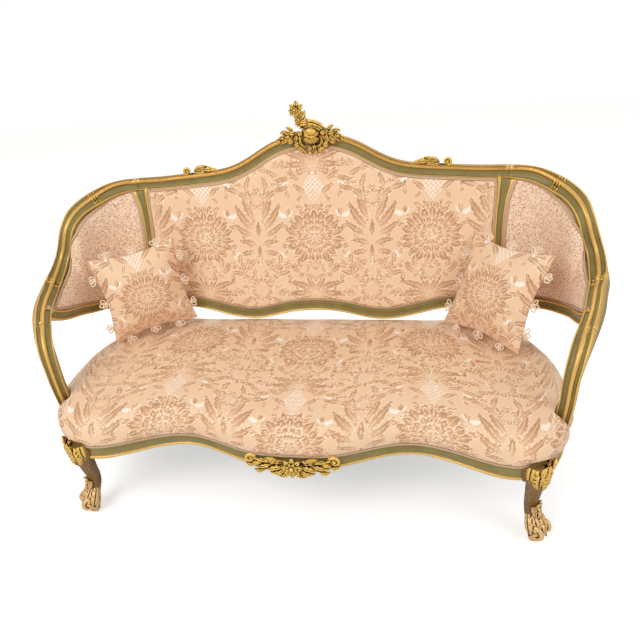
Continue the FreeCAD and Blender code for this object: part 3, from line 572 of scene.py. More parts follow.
@dataclass(frozen=True)
class Damask:
    """Woven cotton and rayon damask: a smooth satin ground and a duller figure.

    The piece's "figure" attribute runs from the pale open ground (0) over the cream ground
    (0.4) to the tan figure (1)."""

    name: str
    open_ground: str = "#fdf0e2"
    ground: str = "#f0cda8"
    middle: str = "#d8ab84"
    figure: str = "#b27f57"
    thread: float = 0.0011

    def make(self) -> bpy.types.Material:
        """Return the material.

        Returns:
            The material, ready to append.
        """
        material, tree, shader = new_material(self.name)
        place = add_node(tree, "TexCoord").outputs["Object"]
        figure = attribute(tree, "figure")
        # Threads lie 1.1 mm apart, coarser than real ones so that they show
        weave = add_node(tree, "TexNoise", inputs={
            "Vector": place, "Scale": 1 / (3 * self.thread), "Detail": 4.0, "Roughness": 0.7})
        shade = add_node(tree, "TexNoise", inputs={"Vector": place, "Scale": 9.0, "Detail": 2.0})
        ragged = sums(tree, "ADD", figure, sums(tree, "MULTIPLY", sums(
            tree, "SUBTRACT", weave.outputs["Fac"], 0.5), 0.55))
        colour = ramp(tree, ragged, ((0.08, self.open_ground), (0.30, self.ground),
                                     (0.50, self.ground), (0.70, self.middle), (0.98, self.figure)))
        colour = mixed(tree, sums(tree, "MULTIPLY", shade.outputs["Fac"], 0.25), colour,
                       "#ecc9a6", "MULTIPLY")
        tree.links.new(colour, shader.inputs["Base Color"])
        shader.inputs["Roughness"].default_value = 0.55
        shader.inputs["Sheen Weight"].default_value = 0.25
        shader.inputs["Sheen Roughness"].default_value = 0.4
        relief = sums(tree, "ADD", sums(tree, "MULTIPLY", figure, 0.25), weave.outputs["Fac"])
        bump = add_node(tree, "Bump", inputs={"Height": relief, "Strength": 0.22,
                                              "Distance": 0.001})
        tree.links.new(bump.outputs["Normal"], shader.inputs["Normal"])
        return material


@dataclass(frozen=True)
class Chenille:
    """Looped chenille with rounded nubs of about 5 mm, matt and slightly mottled, with painted
    shade between the nubs.
    """

    name: str
    pile: str = "#ffe8cf"
    middle: str = "#f3d2b2"
    shade: str = "#c39774"
    nub: float = 0.0050

    def make(self) -> bpy.types.Material:
        """Return the material.

        Returns:
            The material, ready to append.
        """
        material, tree, shader = new_material(self.name)
        place = add_node(tree, "TexCoord").outputs["Object"]
        nubs = add_node(tree, "TexVoronoi", {"feature": "F1"}, {
            "Vector": place, "Scale": 1 / self.nub, "Randomness": 0.85}).outputs["Distance"]
        broad = add_node(tree, "TexNoise", inputs={"Vector": place, "Scale": 12.0, "Detail": 2.0})
        loops = add_node(tree, "TexNoise", inputs={
            "Vector": place, "Scale": 1 / (1.1 * self.nub), "Detail": 3.0, "Roughness": 0.65})
        # Darker at the nubs' edges as painted shade between the loops; the loops' noise mottles the
        # tone at random
        shaded = sums(tree, "ADD", sums(tree, "MULTIPLY", nubs, 0.25), loops.outputs["Fac"])
        colour = ramp(tree, shaded, ((0.52, self.pile), (0.64, self.middle), (0.78, self.shade)))
        colour = mixed(tree, sums(tree, "MULTIPLY", broad.outputs["Fac"], 0.25), colour,
                       "#ecd0b4", "MULTIPLY")
        tree.links.new(colour, shader.inputs["Base Color"])
        shader.inputs["Roughness"].default_value = 0.9
        shader.inputs["Sheen Weight"].default_value = 0.3
        height = sums(tree, "MULTIPLY", nubs, -1.0)
        bump = add_node(tree, "Bump", inputs={"Height": height, "Strength": 0.45,
                                              "Distance": 0.0015})
        tree.links.new(bump.outputs["Normal"], shader.inputs["Normal"])
        return material


@dataclass(frozen=True)
class Braid:
    """Corded cotton gimp: pale humps with painted shade in the gaps where the cords turn."""

    name: str
    cord: str = "#f3dabd"
    middle: str = "#d9b089"
    # Painted shade in the gaps between the cords
    gap: str = "#8c6243"

    def make(self) -> bpy.types.Material:
        """Return the material.

        Returns:
            The material, ready to append.
        """
        material, tree, shader = new_material(self.name)
        place = add_node(tree, "TexCoord").outputs["Object"]
        # Twisted threads of about 0.8 mm
        threads = add_node(tree, "TexNoise", inputs={"Vector": place, "Scale": 1200.0,
                                                     "Detail": 2.0})
        hollow = sums(tree, "ADD", attribute(tree, "hollow"), sums(tree, "MULTIPLY", sums(
            tree, "SUBTRACT", threads.outputs["Fac"], 0.5), 0.3))
        colour = ramp(tree, hollow, ((0.38, self.cord), (0.55, self.middle), (0.72, self.gap)))
        tree.links.new(colour, shader.inputs["Base Color"])
        shader.inputs["Roughness"].default_value = 0.8
        shader.inputs["Sheen Weight"].default_value = 0.2
        bump = add_node(tree, "Bump", inputs={"Height": threads.outputs["Fac"], "Strength": 0.3,
                                              "Distance": 0.0006})
        tree.links.new(bump.outputs["Normal"], shader.inputs["Normal"])
        return material


@dataclass(frozen=True)
class PlainFinish:
    """A plain surface with a fine grain: bare beech, woven cloth, webbing or plated steel."""

    name: str
    light: str
    dark: str
    grain: tuple[float, float, float] = (200.0, 200.0, 200.0)
    roughness: float = 0.6
    metallic: float = 0.0

    def make(self) -> bpy.types.Material:
        """Return the material.

        Returns:
            The material, ready to append.
        """
        material, tree, shader = new_material(self.name)
        place = add_node(tree, "TexCoord").outputs["Object"]
        stretch = add_node(tree, "Mapping", inputs={"Vector": place, "Scale": self.grain})
        grain = add_node(tree, "TexNoise", inputs={"Vector": stretch.outputs["Vector"],
                                                   "Scale": 1.0, "Detail": 4.0})
        colour = ramp(tree, grain.outputs["Fac"], ((0.35, self.dark), (0.65, self.light)))
        tree.links.new(colour, shader.inputs["Base Color"])
        shader.inputs["Roughness"].default_value = self.roughness
        shader.inputs["Metallic"].default_value = self.metallic
        bump = add_node(tree, "Bump", inputs={"Height": grain.outputs["Fac"], "Strength": 0.3,
                                              "Distance": 0.0008})
        tree.links.new(bump.outputs["Normal"], shader.inputs["Normal"])
        return material


def finish(piece: bpy.types.Object, material: bpy.types.Material,
           nodes: Sequence[str] = (), body: Body = Body.SOFA) -> None:
    """Give a piece its material, let it stand for its nodes and tie it to its body.

    Args:
        piece: the piece.
        material: its finish.
        nodes: the construction nodes that the piece replaces.
        body: the body that it moves with.
    """
    piece.data.materials.append(material)
    if nodes:
        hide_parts(*nodes)
    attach(piece, body.value)
    LOG.info("%s: %d faces", piece.name, len(piece.data.polygons))


# The sofa's lines

@dataclass
class Stop:
    """A point of a member's line: its place, outer edge direction, width and depth in mm."""

    place: tuple[float, float, float]
    edge: tuple[float, float, float]
    width: float
    depth: float

    def flipped(self) -> "Stop":
        """Return the stop on the left-hand side.

        Returns:
            The mirrored stop.
        """
        x, y, z = self.place
        a, b, c = self.edge
        return Stop((-x, y, z), (-a, b, c), self.width, self.depth)


class Line(SmoothCurve):
    """A smooth centre line that carries its outer edge's direction, width and depth."""

    def __init__(self, stops: Sequence[Stop]) -> None:
        """Take the line's stops in order, in millimetres.

        Args:
            stops: the line's points.
        """
        super().__init__([np.array(stop.place) + (0, SHIFT_Y / MM, 0) for stop in stops])
        self.edges = np.array([stop.edge for stop in stops], float)
        self.sizes = np.array([(stop.width, stop.depth) for stop in stops], float)

    def frames(self, reach: Sequence[float]) -> dict[str, np.ndarray]:
        """Return the section frames at distances along the line.

        Args:
            reach: distances in millimetres.

        Returns:
            Arrays named place, tangent, edge, face, width, depth and reach, in metres.
        """
        reach = np.atleast_1d(np.asarray(reach, float))
        place, tangent = self.at(reach)
        edge = np.stack([np.interp(reach, self.stops, self.edges[:, k]) for k in range(3)], 1)
        edge = unit(edge - tangent * (edge * tangent).sum(1, keepdims=True))
        width, depth = (np.interp(reach, self.stops, self.sizes[:, k]) for k in range(2))
        return {"place": place * MM, "tangent": tangent, "edge": edge,
                "face": np.cross(tangent, edge), "width": width * MM, "depth": depth * MM,
                "reach": reach * MM}


@dataclass
class Plan:
    """The sofa's driving sizes in millimetres, the same as the construction's."""

    crest_z: float = 1076
    shoulder_z: float = 943
    lower_rail_z: float = 486
    back_y0: float = 470
    back_rake: float = 135
    post_x: float = 686
    arm_x: float = 947
    arm_z: float = 675
    support_y: float = -212
    rail_top: float = 316
    rail_low: float = 266
    post_y: float = 322
    leg_x: float = 716
    leg_y: float = -330
    outline: tuple = (
        (0, -350), (120, -343), (240, -302), (360, -271), (480, -293), (600, -340), (690, -352),
        (752, -328), (804, -266), (836, -180), (845, -80), (840, 20), (820, 115), (778, 208),
        (728, 290), (650, 338), (480, 346), (240, 347), (0, 347))
    crest_rows: tuple = (
        (0.0, 1.0), (0.11, 0.955), (0.22, 0.775), (0.33, 0.474), (0.44, 0.24),
        (0.57, 0.128), (0.73, 0.068), (0.875, 0.02), (1.0, 0.0))
    wing_rows: tuple = (
        # across, back and up as shares, the outer edge's direction, the width
        (0.307, 0.960, 0.972, (0.35, 0.15, 0.93), 50),
        (0.602, 0.858, 0.862, (0.72, 0.25, 0.64), 60),
        (0.768, 0.748, 0.740, (0.87, 0.26, 0.41), 60),
        (0.835, 0.690, 0.593, (0.95, 0.20, 0.20), 56),
        (0.900, 0.680, 0.440, (1.0, 0.10, 0.10), 56), (0.977, 0.659, 0.246, (1.0, 0.0, 0.05), 56),
        (1.0, 0.578, 0.097, (0.95, 0.0, 0.25), 56), (0.966, 0.458, 0.041, (0.80, 0.0, 0.60), 56))
    arm_rows: tuple = (
        (0.870, 0.338, 0.030, (0.70, 0.0, 0.70), 56), (0.782, 0.227, 0.0, (0.70, 0.0, 0.70), 56),
        (0.644, 0.102, -0.104, (0.75, -0.20, 0.60), 56))
    support_rows: tuple = (
        (0.536, 0.024, 0.802, (0.85, -0.40, 0.30), 52),
        (0.487, -0.007, 0.624, (0.90, -0.45, 0.0), 46),
        (0.492, -0.006, 0.401, (0.90, -0.45, 0.0), 44), (0.483, 0.0, 0.206, (0.90, -0.45, 0.0), 44),
        (0.467, 0.003, -0.011, (0.90, -0.45, 0.0), 44))

    def back_y(self, z: float) -> float:
        """Return where the raked plane of the back lies at a height."""
        share = max(self.crest_z - z, 0) / (self.crest_z - self.lower_rail_z)
        return self.back_y0 - self.back_rake * share ** 1.6

    def beside(self, across: float, back: float, rise: float, low: float,
               high: float) -> tuple[float, float, float]:
        """Return a place beside the seat as shares of the arm's reach, run and height.

        Args:
            across: share of the arm's reach beyond the post.
            back: share of the way from the arm's front to the shoulder.
            rise: share of the height.
            low: the height at share 0 in mm.
            high: the height at share 1 in mm.

        Returns:
            The place in millimetres.
        """
        return (self.post_x + across * (self.arm_x - self.post_x),
                self.support_y + back * (self.back_y(self.shoulder_z) - self.support_y),
                low + rise * (high - low))

    def top_line(self) -> tuple[Line, list[float]]:
        """Return the crest, wings, arms and supports as one line, and its right-hand joints.

        Returns:
            The line, and the distances along it of its middle and four joints.
        """
        crest = []
        for across, rise in self.crest_rows:
            z = self.shoulder_z + rise * (self.crest_z - self.shoulder_z)
            crest.append(Stop((across * self.post_x, self.back_y(z), z), (0, 0, 1), 42, 38))
        wing = [Stop(self.beside(a, b, r, self.arm_z, self.shoulder_z), edge, width, 40)
                for a, b, r, edge, width in self.wing_rows]
        arm = [Stop(self.beside(a, b, r, self.arm_z, self.shoulder_z), edge, width, 40)
               for a, b, r, edge, width in self.arm_rows]
        support = [Stop(self.beside(a, b, r, self.rail_top, self.arm_z), edge, width, 40)
                   for a, b, r, edge, width in self.support_rows]
        half = crest + wing + arm + support
        line = Line([stop.flipped() for stop in reversed(half[1:])] + half)
        middle = len(half) - 1
        places = [middle, middle + len(crest) - 1, middle + len(crest) - 1 + len(wing),
                  middle + len(crest) - 1 + len(wing) + len(arm)]
        return line, [line.stops[i] for i in places] + [line.stops[-1]]

    def lower_rail(self) -> Line:
        """Return the lower back rail's line, left to right.

        Returns:
            The line.
        """
        rows = ((0.0, 0), (0.17, -10), (0.34, -31), (0.52, -19), (0.70, 8), (0.86, 14), (1.0, 14))
        half = []
        for across, rise in rows:
            z = self.lower_rail_z + rise
            half.append(Stop((across * self.post_x, self.back_y(z), z), (0, 0, 1), 37, 34))
        return Line([stop.flipped() for stop in reversed(half[1:])] + half)

    def wing_lower(self, arm_end: np.ndarray) -> Line:
        """Return the right lower wing rail's line, from the post to under the arm.

        Args:
            arm_end: the rail's end under the arm, in metres.

        Returns:
            The line.
        """
        rows = ((0.0, 0.817, 0.512), (0.314, 0.806, 0.521), (0.605, 0.750, 0.546),
                (0.77, 0.648, 0.590), (0.793, 0.493, 0.696), (0.759, 0.326, 0.819))
        stops = [Stop(self.beside(*row, self.rail_top, self.arm_z), (0, 0, -1), 37, 34)
                 for row in rows]
        end = tuple(np.array(arm_end) / MM - (0, SHIFT_Y / MM, 0))
        stops.append(Stop(end, (0, 0, -1), 37, 34))
        return Line(stops[::-1])

    def rear_post(self) -> Line:
        """Return the right rear post's line, from the crest to the floor.

        Returns:
            The line.
        """
        drop = self.shoulder_z - self.lower_rail_z
        stops = []
        for lean, share, width in ((-3, -0.01, 78), (-9, 0.085, 56), (-16, 0.20, 38),
                                   (-20, 0.38, 33), (-19, 0.65, 33), (-13, 0.86, 36),
                                   (-6, 1.0, 43)):
            z = self.shoulder_z - share * drop
            stops.append(Stop((self.post_x + lean, self.back_y(z), z), (1, 0, 0), width, 34))
        stops.append(Stop((self.post_x, self.post_y, self.rail_top + 50), (1, 0, 0), 54, 48))
        for z in (self.rail_top, self.rail_low):
            stops.append(Stop((self.post_x, self.post_y, z), (1, 0, 0), 54, 54))
        for share, size in ((0.35, 45), (0.72, 38), (1.0, 36)):
            stops.append(Stop((self.post_x + 16 * share, self.post_y + 78 * share ** 1.5,
                               self.rail_low + share * (4 - self.rail_low)), (1, 0, 0), size, size))
        return Line(stops)

    def seat_line(self) -> Line:
        """Return the seat frame's outer outline as a closed line from the back's middle.

        Returns:
            The line, whose length's middle is the front's middle.
        """
        right = [(x, y, 0) for x, y in self.outline]
        left = [(-x, y, 0) for x, y, _ in reversed(right[1:])]
        return Line([Stop(place, (0, 0, 1), 50, 44) for place in left + right])


# The show frame

INNER_BEAD = (
    # across from the inner to the outer edge, down from the face, share of gilding
    (-0.50, -0.90, 0.0), (-0.50, -0.60, 0.0), (-0.50, -0.26, 0.4), (-0.495, -0.12, 1.0),
    (-0.475, -0.03, 1.0), (-0.44, 0.0, 1.0), (-0.405, -0.04, 1.0), (-0.385, -0.12, 0.5))
OUTER_BACK = (
    (0.495, -0.48, 0.35), (0.46, -0.70, 0.0), (0.36, -0.90, 0.0), (0.18, -0.985, 0.0),
    (-0.10, -1.0, 0.0), (-0.36, -0.98, 0.0))
SHOW_PROFILE = INNER_BEAD + (
    # The wide cove, the broad ridge, the narrow outer cove and the thin outer edge
    (-0.35, -0.17, 0.0), (-0.28, -0.20, 0.0), (-0.20, -0.205, 0.0), (-0.13, -0.18, 0.0),
    (-0.10, -0.12, 0.15), (-0.075, -0.03, 0.9), (-0.035, 0.05, 1.0), (0.03, 0.08, 1.0),
    (0.10, 0.06, 1.0), (0.16, 0.0, 1.0), (0.195, -0.08, 0.9), (0.23, -0.12, 0.1),
    (0.28, -0.135, 0.0), (0.335, -0.12, 0.1), (0.37, -0.07, 0.8), (0.395, -0.025, 1.0),
    (0.43, -0.005, 1.0), (0.47, -0.03, 1.0), (0.495, -0.12, 1.0), (0.50, -0.28, 0.8)) + OUTER_BACK
CREST_PROFILE = INNER_BEAD + (
    # The cove, a narrow groove and one broad outer ridge
    (-0.35, -0.17, 0.0), (-0.26, -0.205, 0.0), (-0.15, -0.21, 0.0), (-0.05, -0.19, 0.0),
    (0.04, -0.15, 0.0), (0.085, -0.18, 0.3), (0.115, -0.07, 1.0), (0.15, 0.0, 1.0),
    (0.21, 0.05, 1.0), (0.28, 0.065, 1.0), (0.35, 0.05, 1.0), (0.385, 0.03, 1.0),
    (0.41, 0.01, 1.0), (0.43, -0.01, 1.0), (0.45, -0.03, 1.0), (0.465, -0.05, 1.0),
    (0.48, -0.08, 1.0), (0.49, -0.11, 1.0), (0.498, -0.16, 1.0), (0.50, -0.28, 1.0)) + OUTER_BACK
POST_PROFILE = (
    (-0.50, -0.85, 0.0), (-0.50, -0.45, 0.0), (-0.50, -0.16, 0.3), (-0.485, -0.03, 1.0),
    (-0.44, 0.03, 1.0), (-0.37, 0.04, 1.0), (-0.31, 0.0, 1.0), (-0.28, -0.09, 0.4),
    (-0.20, -0.15, 0.0), (-0.05, -0.17, 0.0), (0.12, -0.16, 0.0), (0.22, -0.10, 0.3),
    (0.28, 0.0, 0.8), (0.35, 0.045, 1.0), (0.43, 0.03, 1.0), (0.485, -0.05, 0.6),
    (0.50, -0.20, 0.0), (0.50, -0.50, 0.0), (0.50, -0.85, 0.0), (0.46, -0.98, 0.0),
    (0.0, -1.0, 0.0), (-0.46, -0.98, 0.0),
)
RAIL_PROFILE = (
    # the lower edge first
    (-0.50, -0.70, 0.0), (-0.50, -0.20, 0.2), (-0.49, -0.02, 0.8), (-0.45, 0.07, 1.0),
    (-0.38, 0.10, 0.9), (-0.31, 0.07, 0.8), (-0.26, 0.0, 0.5), (-0.22, -0.05, 0.0),
    (-0.10, -0.08, 0.0), (0.10, -0.09, 0.0), (0.26, -0.06, 0.0), (0.36, -0.01, 0.15),
    (0.43, 0.02, 0.3), (0.48, 0.0, 0.1), (0.50, -0.08, 0.0), (0.50, -0.60, 0.0),
    (0.50, -0.97, 0.0), (0.0, -1.0, 0.0), (-0.49, -0.97, 0.0),
)


def sweep(name: str, frames: dict[str, np.ndarray], profile: Sequence[tuple[float, float, float]],
          other: Sequence[tuple[float, float, float]] | None = None,
          share: np.ndarray | float = 0.0) -> bpy.types.Object:
    """Return a moulding: a section swept along frames that turn, with closed ends.

    No modelling operator turns a section this way, so its points are placed directly.

    Args:
        name: the piece's name.
        frames: section frames from Line.frames.
        profile: across, down and gilding shares of the section's points.
        other: a second section with as many points, which the first one turns into.
        share: how far it has turned at each frame, from 0 to 1.

    Returns:
        The moulding with its "gilt" attribute.
    """
    rows, first = len(frames["reach"]), np.array(profile)
    second = first if other is None else np.array(other)
    section = first + (second - first) * (share * np.ones(rows))[:, None, None]
    wide = section[..., 0] * frames["width"][:, None]
    deep = (0.5 + section[..., 1]) * frames["depth"][:, None]
    verts = (frames["place"][:, None, :] + frames["edge"][:, None, :] * wide[:, :, None]
             + frames["face"][:, None, :] * deep[:, :, None])
    # The rear legs stand flat on their glides
    verts[..., 2] = np.maximum(verts[..., 2], GLIDE_HEIGHT)
    piece = mesh_object(name, verts.reshape(-1, 3), tube_faces(rows, len(profile)))
    set_attribute(piece, "gilt", section[..., 2].ravel())
    return outward(piece)


@dataclass
class ShowFrame:
    """The moulded members of the back, wings, arms and supports, and the rails and posts."""

    plan: Plan
    paint: bpy.types.Material
    step: float = 7.0
    rail_thick: float = 0.044

    def __post_init__(self) -> None:
        """Work out the lines."""
        self.top, joints = self.plan.top_line()
        self.middle, self.wing_at, self.arm_at, self.support_at, self.foot_at = joints
        end = self.top.frames([self.support_at - PANEL_STOP])["place"][0]
        self.wing_low = self.plan.wing_lower(end)
        self.low = self.plan.lower_rail()
        self.post = self.plan.rear_post()

    def add(self, piece: bpy.types.Object, node: str) -> None:
        """Finish a member and let it stand for its construction node."""
        mark_hollows(piece, 2, 3.0)
        finish(piece, self.paint, [node])

    def reaches(self, start: float, end: float) -> np.ndarray:
        """Return evenly spaced distances for the stations of a member."""
        return np.linspace(start, end, max(3, int(abs(end - start) / self.step)))

    def crest_share(self, reach: np.ndarray) -> np.ndarray:
        """Return how far the section is the crest's at each distance: 1 there, 0 on the arms."""
        share = 1 - np.clip((np.abs(reach / MM - self.middle) - 740) / 260, 0, 1)
        return share * share * (3 - 2 * share)

    def build(self) -> None:
        """Build every member."""
        start, crest_end = 2 * self.middle - self.wing_at, self.wing_at
        crest = self.top.frames(self.reaches(start, crest_end))
        share = self.crest_share(crest["reach"])
        self.add(sweep("crest", crest, SHOW_PROFILE, CREST_PROFILE, share), "crest_rail")
        spans = (("wing_rail", self.wing_at, self.arm_at),
                 ("arm_rail", self.arm_at, self.support_at),
                 ("arm_support", self.support_at, self.foot_at))
        for node, low, high in spans:
            frames = self.top.frames(self.reaches(low, high))
            self.both(frames, SHOW_PROFILE, node, CREST_PROFILE, self.crest_share(frames["reach"]))
        run = self.wing_low.stops[-1]
        self.both(self.wing_low.frames(self.reaches(0, run)), POST_PROFILE, "wing_lower_rail")
        post = self.post.frames(self.reaches(0, self.post.stops[-1]))
        # The head of the post lies under the crest's moulding
        sunk = 1 - np.clip((post["reach"] / MM - 20) / 12, 0, 1)
        post["place"] -= post["face"] * (0.012 * sunk)[:, None]
        self.both(post, POST_PROFILE, "rear_post")
        low = self.low.frames(self.reaches(0, self.low.stops[-1]))
        self.add(sweep("lower_rail", low, RAIL_PROFILE), "lower_back_rail")
        self.seat_rails()

    def both(self, frames: dict, profile: tuple, node: str, other: tuple | None = None,
             share: np.ndarray | float = 0.0) -> None:
        """Build the right and the left twin of a side member.

        Args:
            frames: the right-hand section frames.
            profile: the section.
            node: the construction node's name.
            other: a second section, for sweep.
            share: how far the section has turned into it, for sweep.
        """
        flip = {key: value.copy() for key, value in frames.items()}
        for key in ("place", "edge", "face"):
            flip[key][:, 0] *= -1
        for side, sides in (("right", frames), ("left", flip)):
            self.add(sweep(f"{side}_{node}_moulding", sides, profile, other, share),
                     f"{side}_{node}")

    def seat_rails(self) -> None:
        """Build the front, side and rear seat rails along the seat's outline."""
        line = self.plan.seat_line()
        half = line.stops[-1] / 2
        leg = self.reach_of(line, (self.plan.post_x + 61, self.plan.leg_y))
        post = self.reach_of(line, (self.plan.post_x + 27, self.plan.post_y))
        spans = (("front_seat_rail", -leg, leg), ("right_side_seat_rail", leg, post),
                 ("left_side_seat_rail", -post, -leg), ("rear_seat_rail", post, 2 * half - post))
        for node, low, high in spans:
            reach = (self.reaches(low, high) + half) % (2 * half)
            frames = line.frames(reach)
            frames["tangent"][:, 2] = 0
            out = np.cross(frames["tangent"], UP)
            scallop = np.clip((frames["place"][:, 1] / MM - SHIFT_Y / MM + 350) / 79, 0, 1) * 9
            tall = self.plan.rail_top - self.plan.rail_low
            height = (tall - scallop * (node == "front_seat_rail")) * MM
            frames["edge"], frames["face"] = np.tile(UP, (len(reach), 1)), out
            frames["place"] = frames["place"] - out * (self.rail_thick / 2)
            frames["place"][:, 2] = self.plan.rail_top * MM - height / 2
            frames["width"], frames["depth"] = height, np.full(len(reach), self.rail_thick)
            self.add(sweep(node.replace("seat_rail", "apron"), frames, RAIL_PROFILE), node)

    def reach_of(self, line: Line, place: tuple[float, float]) -> float:
        """Return a plan point's distance along the seat's outline from the front's middle.

        Args:
            line: the seat's outline.
            place: the point in mm.

        Returns:
            The distance in millimetres.
        """
        reach = np.linspace(line.stops[-1] / 2, line.stops[-1], 4000)
        away = line.frames(reach)["place"][:, :2] / MM - (place[0], place[1] + SHIFT_Y / MM)
        return reach[np.argmin(np.linalg.norm(away, axis=1))] - line.stops[-1] / 2


# Upholstery

def round_edge(away: np.ndarray, radius: float) -> np.ndarray:
    """Return the height share of a rounded edge at a distance from it: 0 there, then 1."""
    return np.sqrt(np.clip(1 - (1 - np.clip(away / radius, 0, 1)) ** 2, 0, 1))


def ripple(x: np.ndarray, y: np.ndarray, size: float, seed: int) -> np.ndarray:
    """Return soft unevenness between -1 and 1 with hollows of about a size.

    Args:
        x: places along one direction in metres.
        y: and along the other.
        size: how far apart the hollows are in metres.
        seed: the unevenness's own number.

    Returns:
        One value for each place.
    """
    draw = np.random.default_rng(seed)
    total = np.zeros(np.broadcast(x, y).shape)
    for _ in range(7):
        turn, phase = draw.uniform(0, 2 * math.pi, 2)
        pitch = size * draw.uniform(0.7, 1.5)
        total += np.sin(2 * math.pi * (x * math.cos(turn) + y * math.sin(turn)) / pitch + phase)
    return total / 4


@dataclass
class Leaf:
    """A petal or leaf of the damask: root, length, half width, turn and bend of its spine."""

    x: float
    y: float
    length: float
    wide: float
    turn: float
    bend: float = 0.0
    tone: float = 1.0
    lobes: float = 5.0


@dataclass
class DamaskFigure:
    """A traditional palmette damask: fans of leaves, scrolling foliage and a small lattice.

    One repeat is symmetrical about its middle line."""

    width: float = 0.43
    height: float = 0.46
    rise: float = 0.0
    leaves: tuple = ()

    def value(self, u: np.ndarray, v: np.ndarray) -> np.ndarray:
        """Return the figure's strength at cloth coordinates.

        Args:
            u: distance across the cloth in metres, 0 on a line of symmetry.
            v: distance up the cloth in metres.

        Returns:
            0 for the open ground, 0.4 for the ground and 1 for the figure.
        """
        out = np.full(u.shape, 0.4)
        lattice = self.lattice(u, v)
        out[lattice] = 0.08
        for tone in (0.0, 1.0):
            x = (u / self.width + 0.5) % 1.0 - 0.5
            y = ((v - self.rise) / self.height + 0.5) % 1.0 - 0.5
            for shift in (-1.0, 0.0, 1.0):
                self.draw(out, np.abs(x) * self.width, (y + shift) * self.height, tone)
        return out

    def lattice(self, u: np.ndarray, v: np.ndarray) -> np.ndarray:
        """Return where the small trellis of fine bars between the palmettes lies.

        Args:
            u: distance across the cloth in metres.
            v: distance up the cloth in metres.

        Returns:
            True on the bars.
        """
        x = ((u / self.width + 0.5) % 1.0 - 0.5) * self.width
        y = (((v - 0.175 - self.rise) / self.height + 0.5) % 1.0 - 0.5) * self.height
        inside = np.abs(x) / 0.046 + np.abs(y) / 0.056 < 1
        bars = np.minimum(np.abs(((x + y) / 0.017 + 0.5) % 1 - 0.5),
                          np.abs(((x - y) / 0.017 + 0.5) % 1 - 0.5)) < 0.16
        return inside & bars

    def draw(self, out: np.ndarray, x: np.ndarray, y: np.ndarray, tone: float) -> None:
        """Draw the leaves of one tone; x is the distance from the motif's middle line.

        Args:
            out: the figure's strength at each point, which is changed.
            x: the points' distances from the middle line in metres.
            y: their heights in the repeat in metres.
            tone: 1 for the figure's leaves, 0 for the open stars.
        """
        for leaf in self.leaves:
            if leaf.tone != tone:
                continue
            for side in (1.0, -1.0):
                near = np.hypot(side * x - leaf.x, y - leaf.y) < leaf.length * 1.2
                if not near.any():
                    continue
                c, s = math.cos(leaf.turn), math.sin(leaf.turn)
                dx, dy = side * x[near] - leaf.x, y[near] - leaf.y
                a, b = dx * c + dy * s, dy * c - dx * s
                t = np.clip(a / leaf.length, 0, 1)
                b = b - leaf.bend * leaf.length * t ** 2
                swell = np.sin(math.pi * t ** 0.75) ** 0.8
                scallop = 0.74 + 0.26 * np.abs(np.sin(math.pi * leaf.lobes * t))
                edge = leaf.wide * swell * scallop
                reach = np.abs(b) - edge
                inside = (a > 0) & (a < leaf.length) & (reach < 0)
                part = out[near]
                if tone < 0.5:
                    part[inside] = tone
                else:
                    # Each leaf is drawn in pale thread and shades from its root to its tip
                    part[(a > -0.001) & (a < leaf.length + 0.001) & (reach < 0.0022)] = 0.16
                    part[inside] = 0.62 + 0.38 * t[inside] ** 1.2
                    vein = np.abs(b) < 0.0012
                    part[inside & vein] = 0.30
                out[near] = part


def ring_of_leaves(x: float, y: float, count: int, inner: float, outer: float, wide: float,
                   flat: float = 1.0, start: float = 90.0) -> list[Leaf]:
    """Return petals round a centre, from an inner to an outer radius, on one side of it.

    Args:
        x: the centre across.
        y: the centre up.
        count: the number of petals.
        inner: the inner radius.
        outer: the outer radius.
        wide: a petal's half width.
        flat: how flattened the ring is.
        start: the first petal's angle in degrees.

    Returns:
        The petals.
    """
    leaves = []
    for k in range(count):
        turn = math.radians(start + 360 * k / count)
        root = (x + inner * math.cos(turn), y + flat * inner * math.sin(turn))
        long = (outer - inner) * (1.06 if k % 2 else 0.90)
        bend = 0.10 * math.sin(2.4 * k + 40 * x + 9)
        leaves.append(Leaf(root[0], root[1], long, wide, turn, bend, 1.0, 2.5))
    return leaves


